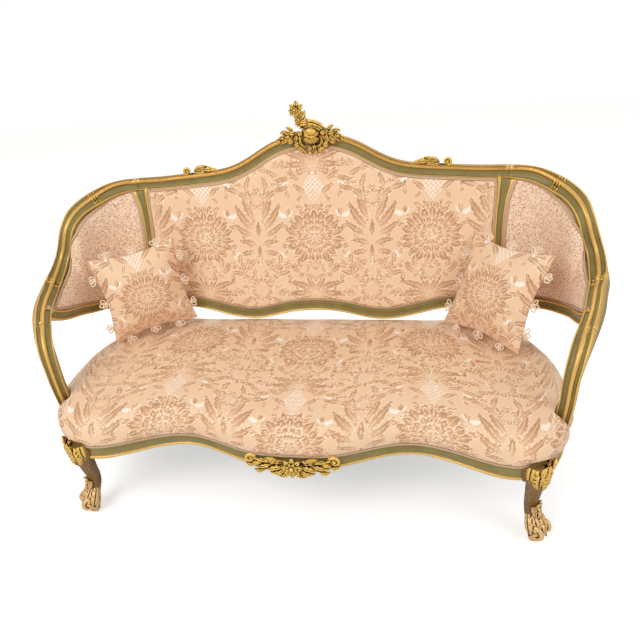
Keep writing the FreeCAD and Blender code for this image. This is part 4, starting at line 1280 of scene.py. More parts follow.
def damask_leaves() -> tuple:
    """Return the leaves of one damask repeat: medallions, branches, fans and open stars.

    Returns:
        The leaves, in the order in which they cover each other.
    """
    leaves, draw = [], np.random.default_rng(21)
    # Small foliage all over the ground, under the larger forms
    for row in range(12):
        for column in range(6):
            x = (column + draw.uniform(0.1, 0.9)) * 0.036
            y = (row + draw.uniform(0.1, 0.9)) * 0.038 - 0.23
            if abs(x) / 0.060 + abs(y - 0.175) / 0.070 > 1 and math.hypot(x, y) > 0.05:
                leaves.append(Leaf(x, y, draw.uniform(0.026, 0.044), draw.uniform(0.006, 0.010),
                                   draw.uniform(0, 6.283), draw.uniform(-0.4, 0.4)))
    for x, y, length, wide, turn, bend in (
            # Feathers that spring from the branch and frame the medallion
            (0.195, 0.035, 0.110, 0.017, 2.55, -0.35), (0.190, 0.010, 0.085, 0.014, 2.95, -0.40),
            (0.200, 0.065, 0.095, 0.015, 2.20, -0.25), (0.205, 0.095, 0.110, 0.014, 2.02, -0.12),
            (0.185, 0.130, 0.075, 0.012, 2.30, 0.20), (0.175, 0.165, 0.060, 0.011, 1.50, -0.25),
            (0.150, 0.160, 0.060, 0.012, 2.60, 0.30), (0.215, 0.000, 0.060, 0.011, 1.571, 0.0),
            # Foliage under the branch
            (0.205, -0.030, 0.070, 0.012, 2.60, 0.30), (0.200, -0.055, 0.075, 0.012, 3.00, 0.35),
            (0.205, -0.080, 0.080, 0.012, -2.70, 0.35), (0.185, -0.115, 0.065, 0.011, 2.80, 0.30),
            (0.160, -0.090, 0.060, 0.011, -2.30, 0.30), (0.150, -0.140, 0.055, 0.011, 2.60, 0.30),
            (0.215, -0.075, 0.050, 0.010, 1.571, 0.0), (0.140, -0.055, 0.050, 0.010, -1.90, 0.30),
            # The crown over the medallion, and the fan under its lower flower
            (0.000, 0.070, 0.050, 0.010, 1.571, 0.0), (0.012, 0.070, 0.050, 0.010, 1.10, 0.20),
            (0.022, 0.064, 0.052, 0.010, 0.60, 0.20), (0.036, 0.056, 0.050, 0.010, 0.15, 0.25),
            (0.006, -0.205, 0.110, 0.015, 0.75, -0.40), (0.012, -0.212, 0.105, 0.014, 0.30, -0.35),
            (0.004, -0.200, 0.075, 0.012, 1.25, -0.20), (0.016, -0.222, 0.085, 0.013, -0.15, -0.30),
            (0.055, -0.130, 0.055, 0.011, 0.40, 0.30), (0.050, -0.115, 0.050, 0.010, 1.00, 0.30),
            (0.030, 0.150, 0.060, 0.011, 0.95, -0.30), (0.045, 0.205, 0.060, 0.011, 0.20, 0.30),
            (0.085, 0.215, 0.065, 0.012, -0.50, 0.30), (0.125, 0.215, 0.060, 0.011, 0.20, 0.30)):
        leaves.append(Leaf(x, y, length, wide, turn, bend))
    leaves += ring_of_leaves(0.0, 0.0, 19, 0.060, 0.114, 0.0165, 0.80)
    leaves += ring_of_leaves(0.0, 0.002, 17, 0.040, 0.074, 0.0110, 0.80, 100)
    leaves += ring_of_leaves(0.0, 0.004, 13, 0.018, 0.046, 0.0090, 0.80, 97)
    leaves += ring_of_leaves(0.0, 0.004, 7, 0.003, 0.020, 0.0065, 0.80, 90)
    leaves += ring_of_leaves(0.0, -0.122, 12, 0.018, 0.044, 0.0075)
    leaves += ring_of_leaves(0.215, 0.135, 10, 0.014, 0.034, 0.0070)
    leaves += ring_of_leaves(0.215, -0.190, 14, 0.020, 0.050, 0.0075)
    for x, y, length, wide, turn, bend in (
            (0.118, 0.185, 0.040, 0.014, 1.00, 0.10), (0.118, 0.185, 0.030, 0.012, 2.70, 0.10),
            (0.120, 0.190, 0.032, 0.012, -0.30, 0.10), (0.122, 0.190, 0.095, 0.0055, -0.98, 0.06),
            (0.118, 0.190, 0.035, 0.010, -2.20, 0.10), (0.105, 0.072, 0.040, 0.010, 0.30, 0.20),
            (0.105, 0.072, 0.035, 0.010, 2.20, 0.20), (0.110, -0.075, 0.035, 0.008, 0.60, 0.20)):
        leaves.append(Leaf(x, y, length, wide, turn, bend, 0.0, 2.5))
    return tuple(leaves)


@dataclass
class Upholstery:
    """The sprung seat, the centre back and the wing panels, with the braid round them."""

    plan: Plan
    frame: ShowFrame
    damask: bpy.types.Material
    chenille: bpy.types.Material
    braid: bpy.types.Material
    back_cloth: bpy.types.Material
    spacing: float = 4.0
    figure: DamaskFigure = field(default_factory=lambda: DamaskFigure(leaves=damask_leaves()))
    seat_profile: tuple = (
        # height over the rail as a share of the seat's rise, how far outside the rail in mm
        (0.045, -2.0), (0.06, 3.5), (0.12, 9.0), (0.22, 13.0), (0.34, 15.0), (0.47, 14.5),
        (0.60, 11.0), (0.71, 3.5), (0.80, -7.0), (0.865, -19.0), (0.905, -33.0))
    seat_rise: float = 120.0
    back_swell: float = 17.0
    wing_swell: float = 12.0

    def build(self) -> None:
        """Build every upholstered piece."""
        self.seat()
        self.centre_back()
        self.wings()
        self.covers()
        self.braids()

    def seat(self) -> None:
        """Build the sprung seat: a crowned pad whose sides roll over the rails."""
        line = self.plan.seat_line()
        half = line.stops[-1] / 2
        reach = np.linspace(half, 2 * half, 3000)
        rim = line.frames(reach)
        x = rim["place"][:, 0] / MM
        end = int(np.argmax(x))
        count = int(2 * x[end] / self.spacing / 2) * 2
        turn = np.linspace(-math.pi / 2, math.pi / 2, count + 1)
        # Columns draw together towards the ends, where the outline turns across
        share = 0.55 * np.sin(turn) + 0.45 * turn / (math.pi / 2)
        front_reach = np.interp(np.abs(share) * x[end], x[:end + 1], reach[:end + 1])
        back_reach = np.interp(-np.abs(share) * x[end], -x[end:], reach[end:])
        sign = np.where(share < 0, -1.0, 1.0)
        rims = []
        for at in (front_reach, back_reach):
            side = line.frames(at)
            side["tangent"][:, 2] = 0
            out = np.cross(unit(side["tangent"]), UP)
            place = side["place"].copy()
            place[:, 0] *= sign
            out[:, 0] *= sign
            rims.append((place, out))
        (front, front_out), (back, back_out) = rims
        depth = np.linalg.norm(back - front, axis=1)
        loops, shares = [], []
        profile = SmoothCurve([(grow, 0.0, height * self.seat_rise)
                               for height, grow in self.seat_profile])
        run = profile.stops[-1]
        rows, _ = profile.at(np.linspace(0, run, int(run / self.spacing)))
        rows = [(row[2] / self.seat_rise, row[0]) for row in rows]
        for height, grow in rows:
            level = (self.plan.rail_top + height * self.seat_rise) * MM
            loops.append(front + front_out * grow * MM)
            loops[-1][:, 2] = level
            shares.append(0.0)
        inner_front, inner_back = loops[-1].copy(), back + back_out * self.seat_profile[-1][1] * MM
        inner_back[:, 2] = inner_front[:, 2]
        steps = int(max(depth) / MM / self.spacing)
        for step in range(1, steps):
            t = step / steps
            t = 0.5 - 0.5 * math.cos(math.pi * t)
            place = inner_front + (inner_back - inner_front) * t
            lift = (1 - self.seat_profile[-1][0]) * self.seat_rise * MM
            place[:, 2] += lift * (1 - abs(2 * t - 1) ** 2.4) * np.clip(depth / 0.45, 0, 1) ** 0.7
            loops.append(place)
        for height, grow in reversed(rows):
            level = (self.plan.rail_top + height * self.seat_rise) * MM
            loops.append(back + back_out * grow * MM)
            loops[-1][:, 2] = level
        grid = np.stack(loops, 1)
        step = np.linalg.norm(np.diff(grid, axis=1), axis=2)
        along = np.concatenate([np.zeros((grid.shape[0], 1)), np.cumsum(step, axis=1)], axis=1)
        flat = grid.reshape(-1, 3)
        top = np.clip((flat[:, 2] / MM - 340) / 60, 0, 1)
        flat[:, 2] += 0.0016 * top * ripple(flat[:, 0], flat[:, 1], 0.16, 5)
        flat = self.notched(flat)
        faces = grid_faces(grid.shape[0], grid.shape[1], wrap=True)
        piece = mesh_object("seat_upholstery", flat, faces)
        figure = self.figure.value(flat[:, 0], along.ravel() - 0.055)
        set_attribute(piece, "figure", figure)
        outward(piece, 2e-5)
        finish(piece, self.damask, ["seat_cushion"])

    def notched(self, flat: np.ndarray) -> np.ndarray:
        """Return the seat's points drawn in round the arm supports, rear posts and knees.

        Args:
            flat: the points in metres, which are changed.

        Returns:
            The same points, moved.
        """
        top, post = self.frame.top, self.frame.post
        seat_top = self.plan.rail_top + self.seat_rise
        spots = []
        reach = np.linspace(self.frame.foot_at - 220, self.frame.foot_at, 90)
        support = top.frames(reach)
        spots.append((support, 27.0, 25.0))
        reach = np.linspace(post.stops[6], post.stops[-4], 60)
        spots.append((post.frames(reach), 30.0, 30.0))
        for sign in (1.0, -1.0):
            for room, half_wide, half_deep in spots:
                z = room["place"][:, 2] / MM
                order = np.argsort(z)
                level = np.clip(flat[:, 2] / MM, self.plan.rail_top, seat_top)
                cx = np.interp(level, z[order], room["place"][order, 0] / MM) * sign
                cy = np.interp(level, z[order], room["place"][order, 1] / MM)
                out = np.array([sign * 0.90, -0.43] if half_deep < 28 else [sign * 0.62, 0.78])
                dx, dy = flat[:, 0] / MM - cx, flat[:, 1] / MM - cy
                a, b = dx * out[0] + dy * out[1], -dx * out[1] + dy * out[0]
                near = 1 - np.clip((np.abs(b) - half_deep) / 14, 0, 1)
                near = near * near * (3 - 2 * near)
                move = np.clip(a + half_wide, 0, None) * near * (np.abs(a) < 90)
                flat[:, 0] -= move * out[0] * MM
                flat[:, 1] -= move * out[1] * MM
            low = np.clip((346 - flat[:, 2] / MM) / 10, 0, 1)
            across = flat[:, 0] * sign / MM
            ahead = flat[:, 1] / MM - SHIFT_Y / MM < -300
            knee = np.exp(-((across - 735) / 38) ** 2) * low * ahead
            flat[:, 0] -= sign * 0.012 * knee
            flat[:, 1] += 0.016 * knee
        return flat

    def inner_edge(self, line: Line, low: float, high: float, side: float,
                   inset: float = CLOTH_GAP) -> np.ndarray:
        """Return the points of a member's inner edge, at the level of its face.

        Args:
            line: the member's line.
            low: where to start in mm.
            high: where to end in mm.
            side: 1 or -1, the side of the line that is the inner one.
            inset: the gap between cloth and member in mm.

        Returns:
            400 points in metres.
        """
        frames = line.frames(np.linspace(low, high, 400))
        return frames["place"] + side * frames["edge"] * (frames["width"][:, None] / 2 + inset * MM)

    def back_grid(self, swell: float, drop: float, spacing: float) -> tuple:
        """Return a grid of points over the centre back and how far each is from the frame.

        Args:
            swell: how far the middle stands forward in mm.
            drop: how far the edge lies behind the back's middle plane in mm.
            spacing: the distance between the points in mm.

        Returns:
            The points row by row, the number of rows and of columns, and the distances.
        """
        crest = self.inner_edge(self.frame.top, 2 * self.frame.middle - self.frame.wing_at,
                                self.frame.wing_at, -1)
        low = self.inner_edge(self.frame.low, 0, self.frame.low.stops[-1], 1)
        post = self.frame.post.frames(np.linspace(0, self.frame.post.stops[6], 200))
        edge = post["place"][:, 0] - post["width"] / 2 - CLOTH_GAP * MM
        columns, rows = int(1310 / spacing), int(560 / spacing)
        s, t = np.meshgrid(np.linspace(-1, 1, columns), np.linspace(0, 1, rows))
        x = s * 0.65
        for _ in range(4):
            bottom = np.interp(x, low[:, 0], low[:, 2])
            ceiling = np.interp(x, crest[:, 0], crest[:, 2])
            z = bottom + (ceiling - bottom) * t
            x = s * np.interp(-z, -post["place"][:, 2], edge)
        away = np.minimum(np.minimum(z - bottom, ceiling - z),
                          np.interp(-z, -post["place"][:, 2], edge) - np.abs(x))
        y = np.vectorize(self.plan.back_y)(z / MM) * MM + SHIFT_Y + drop * MM
        bulge = round_edge(away, 0.042) * 0.62 + 0.38 * (
            (1 - np.abs(s) ** 2.2) * (1 - np.abs(2 * t - 1) ** 2.2))
        y = y - swell * MM * bulge
        return np.stack([x, y, z], 2), rows, columns, away

    def centre_back(self) -> None:
        """Build the centre back pad and the outside back."""
        grid, rows, columns, away = self.back_grid(self.back_swell, -13, self.spacing)
        x, z = grid[..., 0], grid[..., 2]
        grid[..., 1] += 0.0010 * ripple(x, z, 0.15, 11) * np.clip(away / 0.05, 0, 1)
        back, _, _, _ = self.back_grid(0.0, 4, self.spacing)
        count = rows * columns
        verts = np.concatenate([grid.reshape(-1, 3), back.reshape(-1, 3)])
        faces = grid_faces(rows, columns) + grid_faces(rows, columns, first=count)
        faces += rim_faces(rows, columns, count)
        piece = mesh_object("centre_back_upholstery", verts, faces)
        figure = self.figure.value(verts[:, 0], verts[:, 2] - 0.742)
        set_attribute(piece, "figure", figure)
        outward(piece)
        finish(piece, self.damask, ["centre_back_pad"])

    def wing_grid(self, swell: float, lift: float, spacing: float) -> tuple:
        """Return a grid over the right wing panel and its sizes.

        Args:
            swell: how far the middle stands forward in mm.
            lift: how far the whole panel stands forward in mm.
            spacing: the distance between the points in mm.

        Returns:
            The points row by row, and the number of rows and of columns.
        """
        frame = self.frame
        run = frame.support_at - PANEL_STOP - frame.wing_at
        low_run = frame.wing_low.stops[-1]
        columns = int(1.04 * run / spacing)
        share = np.linspace(0, 1, columns)
        high = frame.top.frames(frame.wing_at + 6 + (run - 6) * share)
        low = frame.wing_low.frames(low_run * (1 - share))
        high, low = (side["place"] - side["edge"] * (side["width"][:, None] / 2 + CLOTH_GAP * MM)
                     for side in (high, low))
        post = frame.post.frames(np.linspace(0, frame.post.stops[6], 200))
        edge = post["place"].copy()
        edge[:, 0] += post["width"] / 2 + CLOTH_GAP * MM
        rows = int(440 / spacing)
        t = np.linspace(0, 1, rows)[:, None, None]
        grid = low[None] + (high - low)[None] * t
        first = grid[:, 0, :].copy()
        for k in (0, 1):
            want = np.interp(-first[:, 2], -edge[:, 2], edge[:, k])
            gap = (want - first[:, k])[:, None] * (1 - share[None, :]) ** 3
            grid[..., k] += gap
        along = np.gradient(grid, axis=1)
        upward = np.gradient(grid, axis=0)
        face = unit(np.cross(along, upward))
        gap_low = np.linalg.norm(high - low, axis=1)[None, :]
        tt = np.linspace(0, 1, rows)[:, None]
        side = np.cumsum(np.linalg.norm(along, axis=2), axis=1)
        away = np.minimum(np.minimum(tt, 1 - tt) * gap_low, side)
        bulge = round_edge(away, 0.032) * 0.7 + 0.3 * (1 - np.abs(2 * tt - 1) ** 2) * np.clip(
            gap_low / 0.2, 0, 1)
        grid = grid + face * (lift + swell * bulge[..., None]) * MM
        return grid, rows, columns

    def wings(self) -> None:
        """Build the two wing panels' pads."""
        front, rows, columns = self.wing_grid(self.wing_swell, 9, self.spacing)
        back, _, _ = self.wing_grid(0, -4, self.spacing)
        count = rows * columns
        faces = grid_faces(rows, columns) + grid_faces(rows, columns, first=count)
        faces += rim_faces(rows, columns, count)
        for side, sign in (("right", 1), ("left", -1)):
            verts = np.concatenate([front.reshape(-1, 3), back.reshape(-1, 3)]) * (sign, 1, 1)
            piece = mesh_object(f"{side}_wing_upholstery", verts, faces)
            outward(piece)
            finish(piece, self.chenille, [f"{side}_wing_pad"])

    def covers(self) -> None:
        """Stretch the outside cloths over the backs of the centre back and the wings."""
        grids = [("outside_back", self.back_grid(0.0, 13, 12.0)[0], "centre_back_cover",
                  ("crest", "lower_rail"))]
        wing = self.wing_grid(0, -12, 12.0)[0]
        for side, sign in (("right", 1), ("left", -1)):
            grids.append((f"outside_{side}_wing", wing * (sign, 1, 1), f"{side}_wing_cover",
                          (f"{side}_wing_rail_moulding", f"{side}_wing_lower_rail_moulding")))
        for name, grid, node, rails in grids:
            rows, columns = grid.shape[:2]
            piece = mesh_object(name, grid.reshape(-1, 3), grid_faces(rows, columns))
            outward(piece, 1e-5)
            wide = float(np.linalg.norm(np.diff(grid, axis=1), axis=2).sum(1).max())
            tall = float(np.linalg.norm(np.diff(grid, axis=0), axis=2).sum(0).max())
            apply_modifier(piece, "SOLIDIFY", thickness=0.0012, offset=0.0)
            list(rails)
            finish(piece, self.back_cloth, [node])

    def braids(self) -> None:
        """Lay gimp braid round the centre back, the wing panels and the seat."""
        spacing = 6.0
        grid, _, _, _ = self.back_grid(self.back_swell, -13, spacing)
        piece = self.braid_on(grid, "centre_back_braid")
        finish(piece, self.braid, ["centre_back_gimp"])
        grid, _, _ = self.wing_grid(self.wing_swell, 9, spacing)
        for side, sign in (("right", 1), ("left", -1)):
            piece = self.braid_on(grid * (sign, 1, 1), f"{side}_wing_braid")
            finish(piece, self.braid)
        self.seat_braid()

    def braid_on(self, grid: np.ndarray, name: str, inset: float = 5.6) -> bpy.types.Object:
        """Return braid that follows a padded grid's four edges, lying on its face.

        Args:
            grid: the pad's points row by row.
            name: the piece's name.
            inset: how far in from the edge it lies in mm.

        Returns:
            The braid.
        """
        # Where a panel runs out to a point, the braid turns back before it
        tall = np.linalg.norm(grid[-1] - grid[0], axis=1)
        grid = grid[:, tall > 0.024]
        rows, columns = grid.shape[:2]
        i, j = rim(rows, columns).T

        def inside(values: np.ndarray, step: int) -> np.ndarray:
            """Return the grid's values some steps in from its edges."""
            return values[np.clip(i, step, rows - 1 - step), np.clip(j, step, columns - 1 - step)]

        normals = unit(np.cross(np.gradient(grid, axis=1), np.gradient(grid, axis=0)))
        facing = inside(normals, 2)
        if facing.mean(0)[1] > 0:
            facing = -facing
        inward = unit(inside(grid, 2) - inside(grid, 0) + 1e-9)
        facing = unit(facing - inward * (facing * inward).sum(1)[:, None])
        place = inside(grid, 0) + inward * inset * MM + facing * 0.0012
        return braid_strip(name, place, inward, facing, closed=True)

    def seat_braid(self) -> None:
        """Lay braid round the foot of the seat, over the tacking edge."""
        line = self.plan.seat_line()
        reach = np.linspace(0, line.stops[-1], 900)[:-1]
        frames = line.frames(reach)
        frames["tangent"][:, 2] = 0
        out = np.cross(unit(frames["tangent"]), UP)
        place = frames["place"] + out * 0.0052
        place[:, 2] = (self.plan.rail_top + 5.4) * MM
        moved = self.notched(place.copy())
        moved[:, 2] = place[:, 2]
        rise = unit(out * 0.35 + UP)
        piece = braid_strip("seat_braid", moved, rise, unit(out - 0.35 * UP), closed=True)
        finish(piece, self.braid, ["seat_gimp"])


def braid_strip(name: str, path: np.ndarray, across: np.ndarray, facing: np.ndarray,
                closed: bool = False, half: float = BRAID_HALF_WIDTH) -> bpy.types.Object:
    """Return a gimp braid: two rows of small corded humps along a path.

    Args:
        name: the piece's name.
        path: the braid's middle line.
        across: the direction of its width at each point of the path.
        facing: the direction that it faces at each point.
        closed: whether the path closes on itself.
        half: half its width in metres.

    Returns:
        The braid as a closed solid strip.
    """
    if closed:
        path, across, facing = (np.concatenate([a, a[:1]]) for a in (path, across, facing))
    steps = np.linalg.norm(np.diff(path, axis=0), axis=1)
    stops = np.concatenate([[0], np.cumsum(steps)])
    reach = np.arange(0, stops[-1], 0.0018)

    def along(values: np.ndarray) -> np.ndarray:
        """Return values sampled evenly along the path."""
        return np.stack([np.interp(reach, stops, values[:, k]) for k in range(3)], 1)

    place, across, facing = along(path), unit(along(across)), unit(along(facing))
    rows, deep = [], []
    phase = 2 * math.pi * reach / 0.0066
    for a, base in ((-1.0, -0.2), (-0.80, 0.6), (-0.42, 1.0), (0.0, 0.45),
                    (0.42, 1.0), (0.80, 0.6), (1.0, -0.2)):
        wave = np.abs(np.sin(phase / 2 + (0.0 if a < 0 else math.pi / 2)))
        height = 0.0029 * base * (0.45 + 0.55 * wave) + 0.0006
        # How deep each row lies in the braid's relief, which its material shows as painted shade
        deep.append(0.80 - 0.50 * wave * max(base, 0.0))
        width = half * a * (1 + 0.12 * wave * (abs(a) > 0.7))
        side = (width * np.ones_like(reach))[:, None]
        rows.append(place + across * side + facing * height[:, None])
    rows.append(place - facing * 0.0008 + across * half * 0.8)
    rows.append(place - facing * 0.0008 - across * half * 0.8)
    deep += [np.full(len(reach), 0.9)] * 2
    grid = np.stack(rows, 1)
    faces = grid_faces(grid.shape[0], grid.shape[1], wrap=True)
    if closed:
        last = (grid.shape[0] - 1) * grid.shape[1]
        for j in range(grid.shape[1]):
            k = (j + 1) % grid.shape[1]
            faces.append((last + j, last + k, k, j))
    piece = mesh_object(name, grid.reshape(-1, 3), faces)
    set_attribute(piece, "hollow", np.stack(deep, 1).ravel())
    return outward(piece, 1e-6)


# Carving and legs

@dataclass
class Carver:
    """Carves leaves, scrolls and beads, and joins them into one gilded piece."""

    verts: list = field(default_factory=list)
    faces: list = field(default_factory=list)
    count: int = 0
    floor: float = 0.0012

    def add(self, grid: np.ndarray) -> None:
        """Add one closed form with its faces outwards, and nothing of it under the floor.

        Args:
            grid: the form's rings of points.
        """
        verts, faces = grid.reshape(-1, 3), tube_faces(*grid.shape[:2])
        quads = verts[np.array([face for face in faces if len(face) == 4])] - verts.mean(0)
        a, b, c, d = (quads[:, k] for k in range(4))
        volume = (a * np.cross(b, c)).sum() + (a * np.cross(c, d)).sum()
        if volume < 0:
            faces = [tuple(reversed(face)) for face in faces]
        verts = np.concatenate([verts[:, :2], np.maximum(verts[:, 2:], self.floor)], axis=1)
        self.verts.append(verts)
        self.faces += [tuple(k + self.count for k in face) for face in faces]
        self.count += len(verts)

    def leaf(self, spine: Sequence[Sequence[float]], wide: float, lift: float,
             facing: Sequence[float], lobes: float = 4.0, curl: float = 0.0,
             widest: float = 0.45, blunt: float = 0.12) -> None:
        """Carve an acanthus leaf: lobed edges, a sunk midrib and flutes that fan out.

        Args:
            spine: points in metres that the leaf's middle follows, from root to tip.
            wide: half its greatest width.
            lift: how far its middle stands up.
            facing: the direction that it faces, or one for each spine point.
            lobes: the number of lobes on each side.
            curl: how far its tip turns over towards the viewer.
            widest: where it is widest, as a share of its length.
            blunt: how wide its root is as a share of its greatest width.
        """
        curve = SmoothCurve(spine)
        rows, half = 22, 5
        s = np.linspace(0, 1, rows)
        place, tangent = curve.at(s * curve.stops[-1])
        facing = np.array(facing, float)
        if facing.ndim == 2:
            stops = curve.stops / curve.stops[-1]
            facing = np.stack([np.interp(s, stops, facing[:, k]) for k in range(3)], 1)
        else:
            facing = np.tile(facing, (rows, 1))
        across = unit(np.cross(tangent, facing))
        out = unit(np.cross(across, tangent))
        swell = np.where(s < widest, blunt + (1 - blunt) * np.sin(0.5 * math.pi * s / widest),
                         np.cos(0.5 * math.pi * (s - widest) / (1 - widest)) ** 0.8)
        a = np.linspace(-1, 1, 2 * half + 1)
        phase = lobes * (s[:, None] - 0.10 * np.abs(a[None, :]))
        notch = 1 - 0.30 * np.abs(a[None, :]) ** 2 * (1 - np.abs(np.sin(math.pi * phase)) ** 0.6)
        width = wide * swell[:, None] * notch * a[None, :]
        flute = 0.30 * np.cos(2 * math.pi * phase) * np.abs(a[None, :]) ** 0.8
        rib = 1 - 0.55 * np.exp(-(a[None, :] / 0.16) ** 2) - 0.9 * np.abs(a[None, :]) ** 2.5
        height = lift * np.maximum(swell[:, None], 0.15) * (rib + flute)
        turned = curl * np.clip((s - 0.72) / 0.28, 0, 1)[:, None] ** 2
        top = (place[:, None, :] + across[:, None, :] * width[:, :, None]
               + out[:, None, :] * (height + turned)[:, :, None])
        low = -0.45 * lift * np.maximum(swell, 0.15)[:, None]
        under = (place[:, None, :] + across[:, None, :] * (width[:, ::-2] * 0.92)[:, :, None]
                 + out[:, None, :] * (low + turned * 0.9)[:, :, None])
        self.add(np.concatenate([top, under], axis=1))

    def roll(self, path: np.ndarray, radii: np.ndarray, sides: int = 9, ribs: float = 0.0) -> None:
        """Carve a round rib that follows a path, with rings along it where asked.

        Args:
            path: the points that the rib follows.
            radii: its radius at each of them.
            sides: the number of points round it.
            ribs: how strongly rings stand out, as a share of the radius.
        """
        path, radii = np.array(path, float), np.array(radii, float)
        tangent = unit(np.gradient(path, axis=0))
        start = np.cross(tangent[0], (0.3, 0.2, 0.93))
        normal = [unit(start)]
        for step in tangent[1:]:
            normal.append(unit(normal[-1] - step * (normal[-1] @ step)))
        normal = np.array(normal)
        other = np.cross(tangent, normal)
        angle = np.linspace(0, 2 * math.pi, sides, endpoint=False)
        swell = radii * (1 + ribs * np.cos(np.arange(len(radii)) * math.pi / 2))
        self.add(path[:, None] + swell[:, None, None] * (
            normal[:, None] * np.cos(angle)[None, :, None]
            + other[:, None] * np.sin(angle)[None, :, None]))

    def scroll(self, centre: Sequence[float], right: Sequence[float], above: Sequence[float],
               radius: float, turns: float, start: float, thick: float, way: float = 1.0) -> None:
        """Carve a volute that winds in to an eye.

        Args:
            centre: the eye's place.
            right: the direction of angle 0.
            above: the direction of a quarter turn.
            radius: the outer radius.
            turns: how many turns it winds.
            start: the outer end's angle in radians.
            thick: the rib's outer radius.
            way: 1 to wind one way and -1 the other.
        """
        centre, right, above = (np.array(a, float) for a in (centre, right, above))
        out = np.cross(right, above)
        s = np.linspace(0, 1, int(26 * turns) + 8)
        angle = start + way * 2 * math.pi * turns * s
        reach = radius * (1 - 0.86 * s ** 0.85)
        path = (centre + right * (reach * np.cos(angle))[:, None]
                + above * (reach * np.sin(angle))[:, None] + out * (0.35 * thick * s)[:, None])
        self.roll(path, thick * (1 - 0.45 * s))
        self.ball(centre + out * 0.6 * thick, (0.9 * thick,) * 3)

    def ball(self, centre: Sequence[float], radii: Sequence[float], turn: float = 0.0,
             flutes: int = 0) -> None:
        """Carve a bead or a dome, fluted like a shell where asked.

        Args:
            centre: its centre.
            radii: its radii along x, y and z.
            turn: how far it is turned about the y direction in radians.
            flutes: the number of flutes.
        """
        rows, sides = 9, 16
        v = np.linspace(0.02, math.pi - 0.02, rows)[:, None]
        h = np.linspace(0, 2 * math.pi, sides, endpoint=False)[None, :]
        swell = 1 + 0.10 * np.cos(flutes * h) * np.sin(v) if flutes else 1.0
        x = radii[0] * np.sin(v) * np.cos(h) * swell
        y = radii[1] * np.sin(v) * np.sin(h) * swell
        z = radii[2] * np.cos(v) * np.ones_like(h)
        c, s = math.cos(turn), math.sin(turn)
        self.add(np.stack([x * c + z * s, y, z * c - x * s], 2) + np.array(centre))

    def flower(self, centre: Sequence[float], radius: float, petals: int, facing: Sequence[float],
               lift: float) -> None:
        """Carve a flower: two rows of petals round a seeded eye.

        Args:
            centre: its centre.
            radius: its radius.
            petals: the number of petals in a row.
            facing: the direction that it faces.
            lift: how far it stands up.
        """
        centre, facing = np.array(centre, float), unit(np.array(facing, float))
        right = unit(np.cross(facing, (0, 0, 1.0)))
        above = np.cross(right, facing)
        for row, (count, share, rise) in enumerate(((petals, 1.0, 0.0), (petals, 0.62, 0.5))):
            for k in range(count):
                angle = 2 * math.pi * (k + 0.5 * row) / count
                spoke = right * math.cos(angle) + above * math.sin(angle)
                base = centre + facing * lift * rise
                spine = [base + spoke * 0.12 * radius,
                         base + spoke * 0.6 * share * radius + facing * lift * 0.5,
                         base + spoke * share * radius + facing * lift * 0.25]
                self.leaf(spine, 2.1 * radius * share / count, 0.30 * lift, facing, 1.5, 0.0,
                          0.6, 0.4)
        self.ball(centre + facing * lift * 0.9, (0.24 * radius,) * 3)

    def mirrored(self) -> "Carver":
        """Return the carving for the other side of the sofa.

        Returns:
            A new carver with the mirrored forms.
        """
        other = Carver(count=self.count)
        other.verts = [verts * (-1, 1, 1) for verts in self.verts]
        other.faces = [tuple(reversed(face)) for face in self.faces]
        return other

    def gilded(self, name: str) -> bpy.types.Object:
        """Return the joined carving with its gilding and hollows marked.

        Args:
            name: the piece's name.

        Returns:
            The carving, without a material.
        """
        piece = mesh_object(name, np.concatenate(self.verts), self.faces)
        outward(piece, 1e-6, False)
        set_attribute(piece, "gilt", np.ones(len(piece.data.vertices)))
        # Hollows and ridges carry glaze, painted shade and a painted highlight; the carving's own
        # occlusion adds more painted shade
        mark_hollows(piece, 1, 5.0)
        mark_crevices(piece)
        return piece

    def piece(self, name: str, material: bpy.types.Material, node: str) -> None:
        """Join the carving and let it stand for its node."""
        finish(self.gilded(name), material, [node])


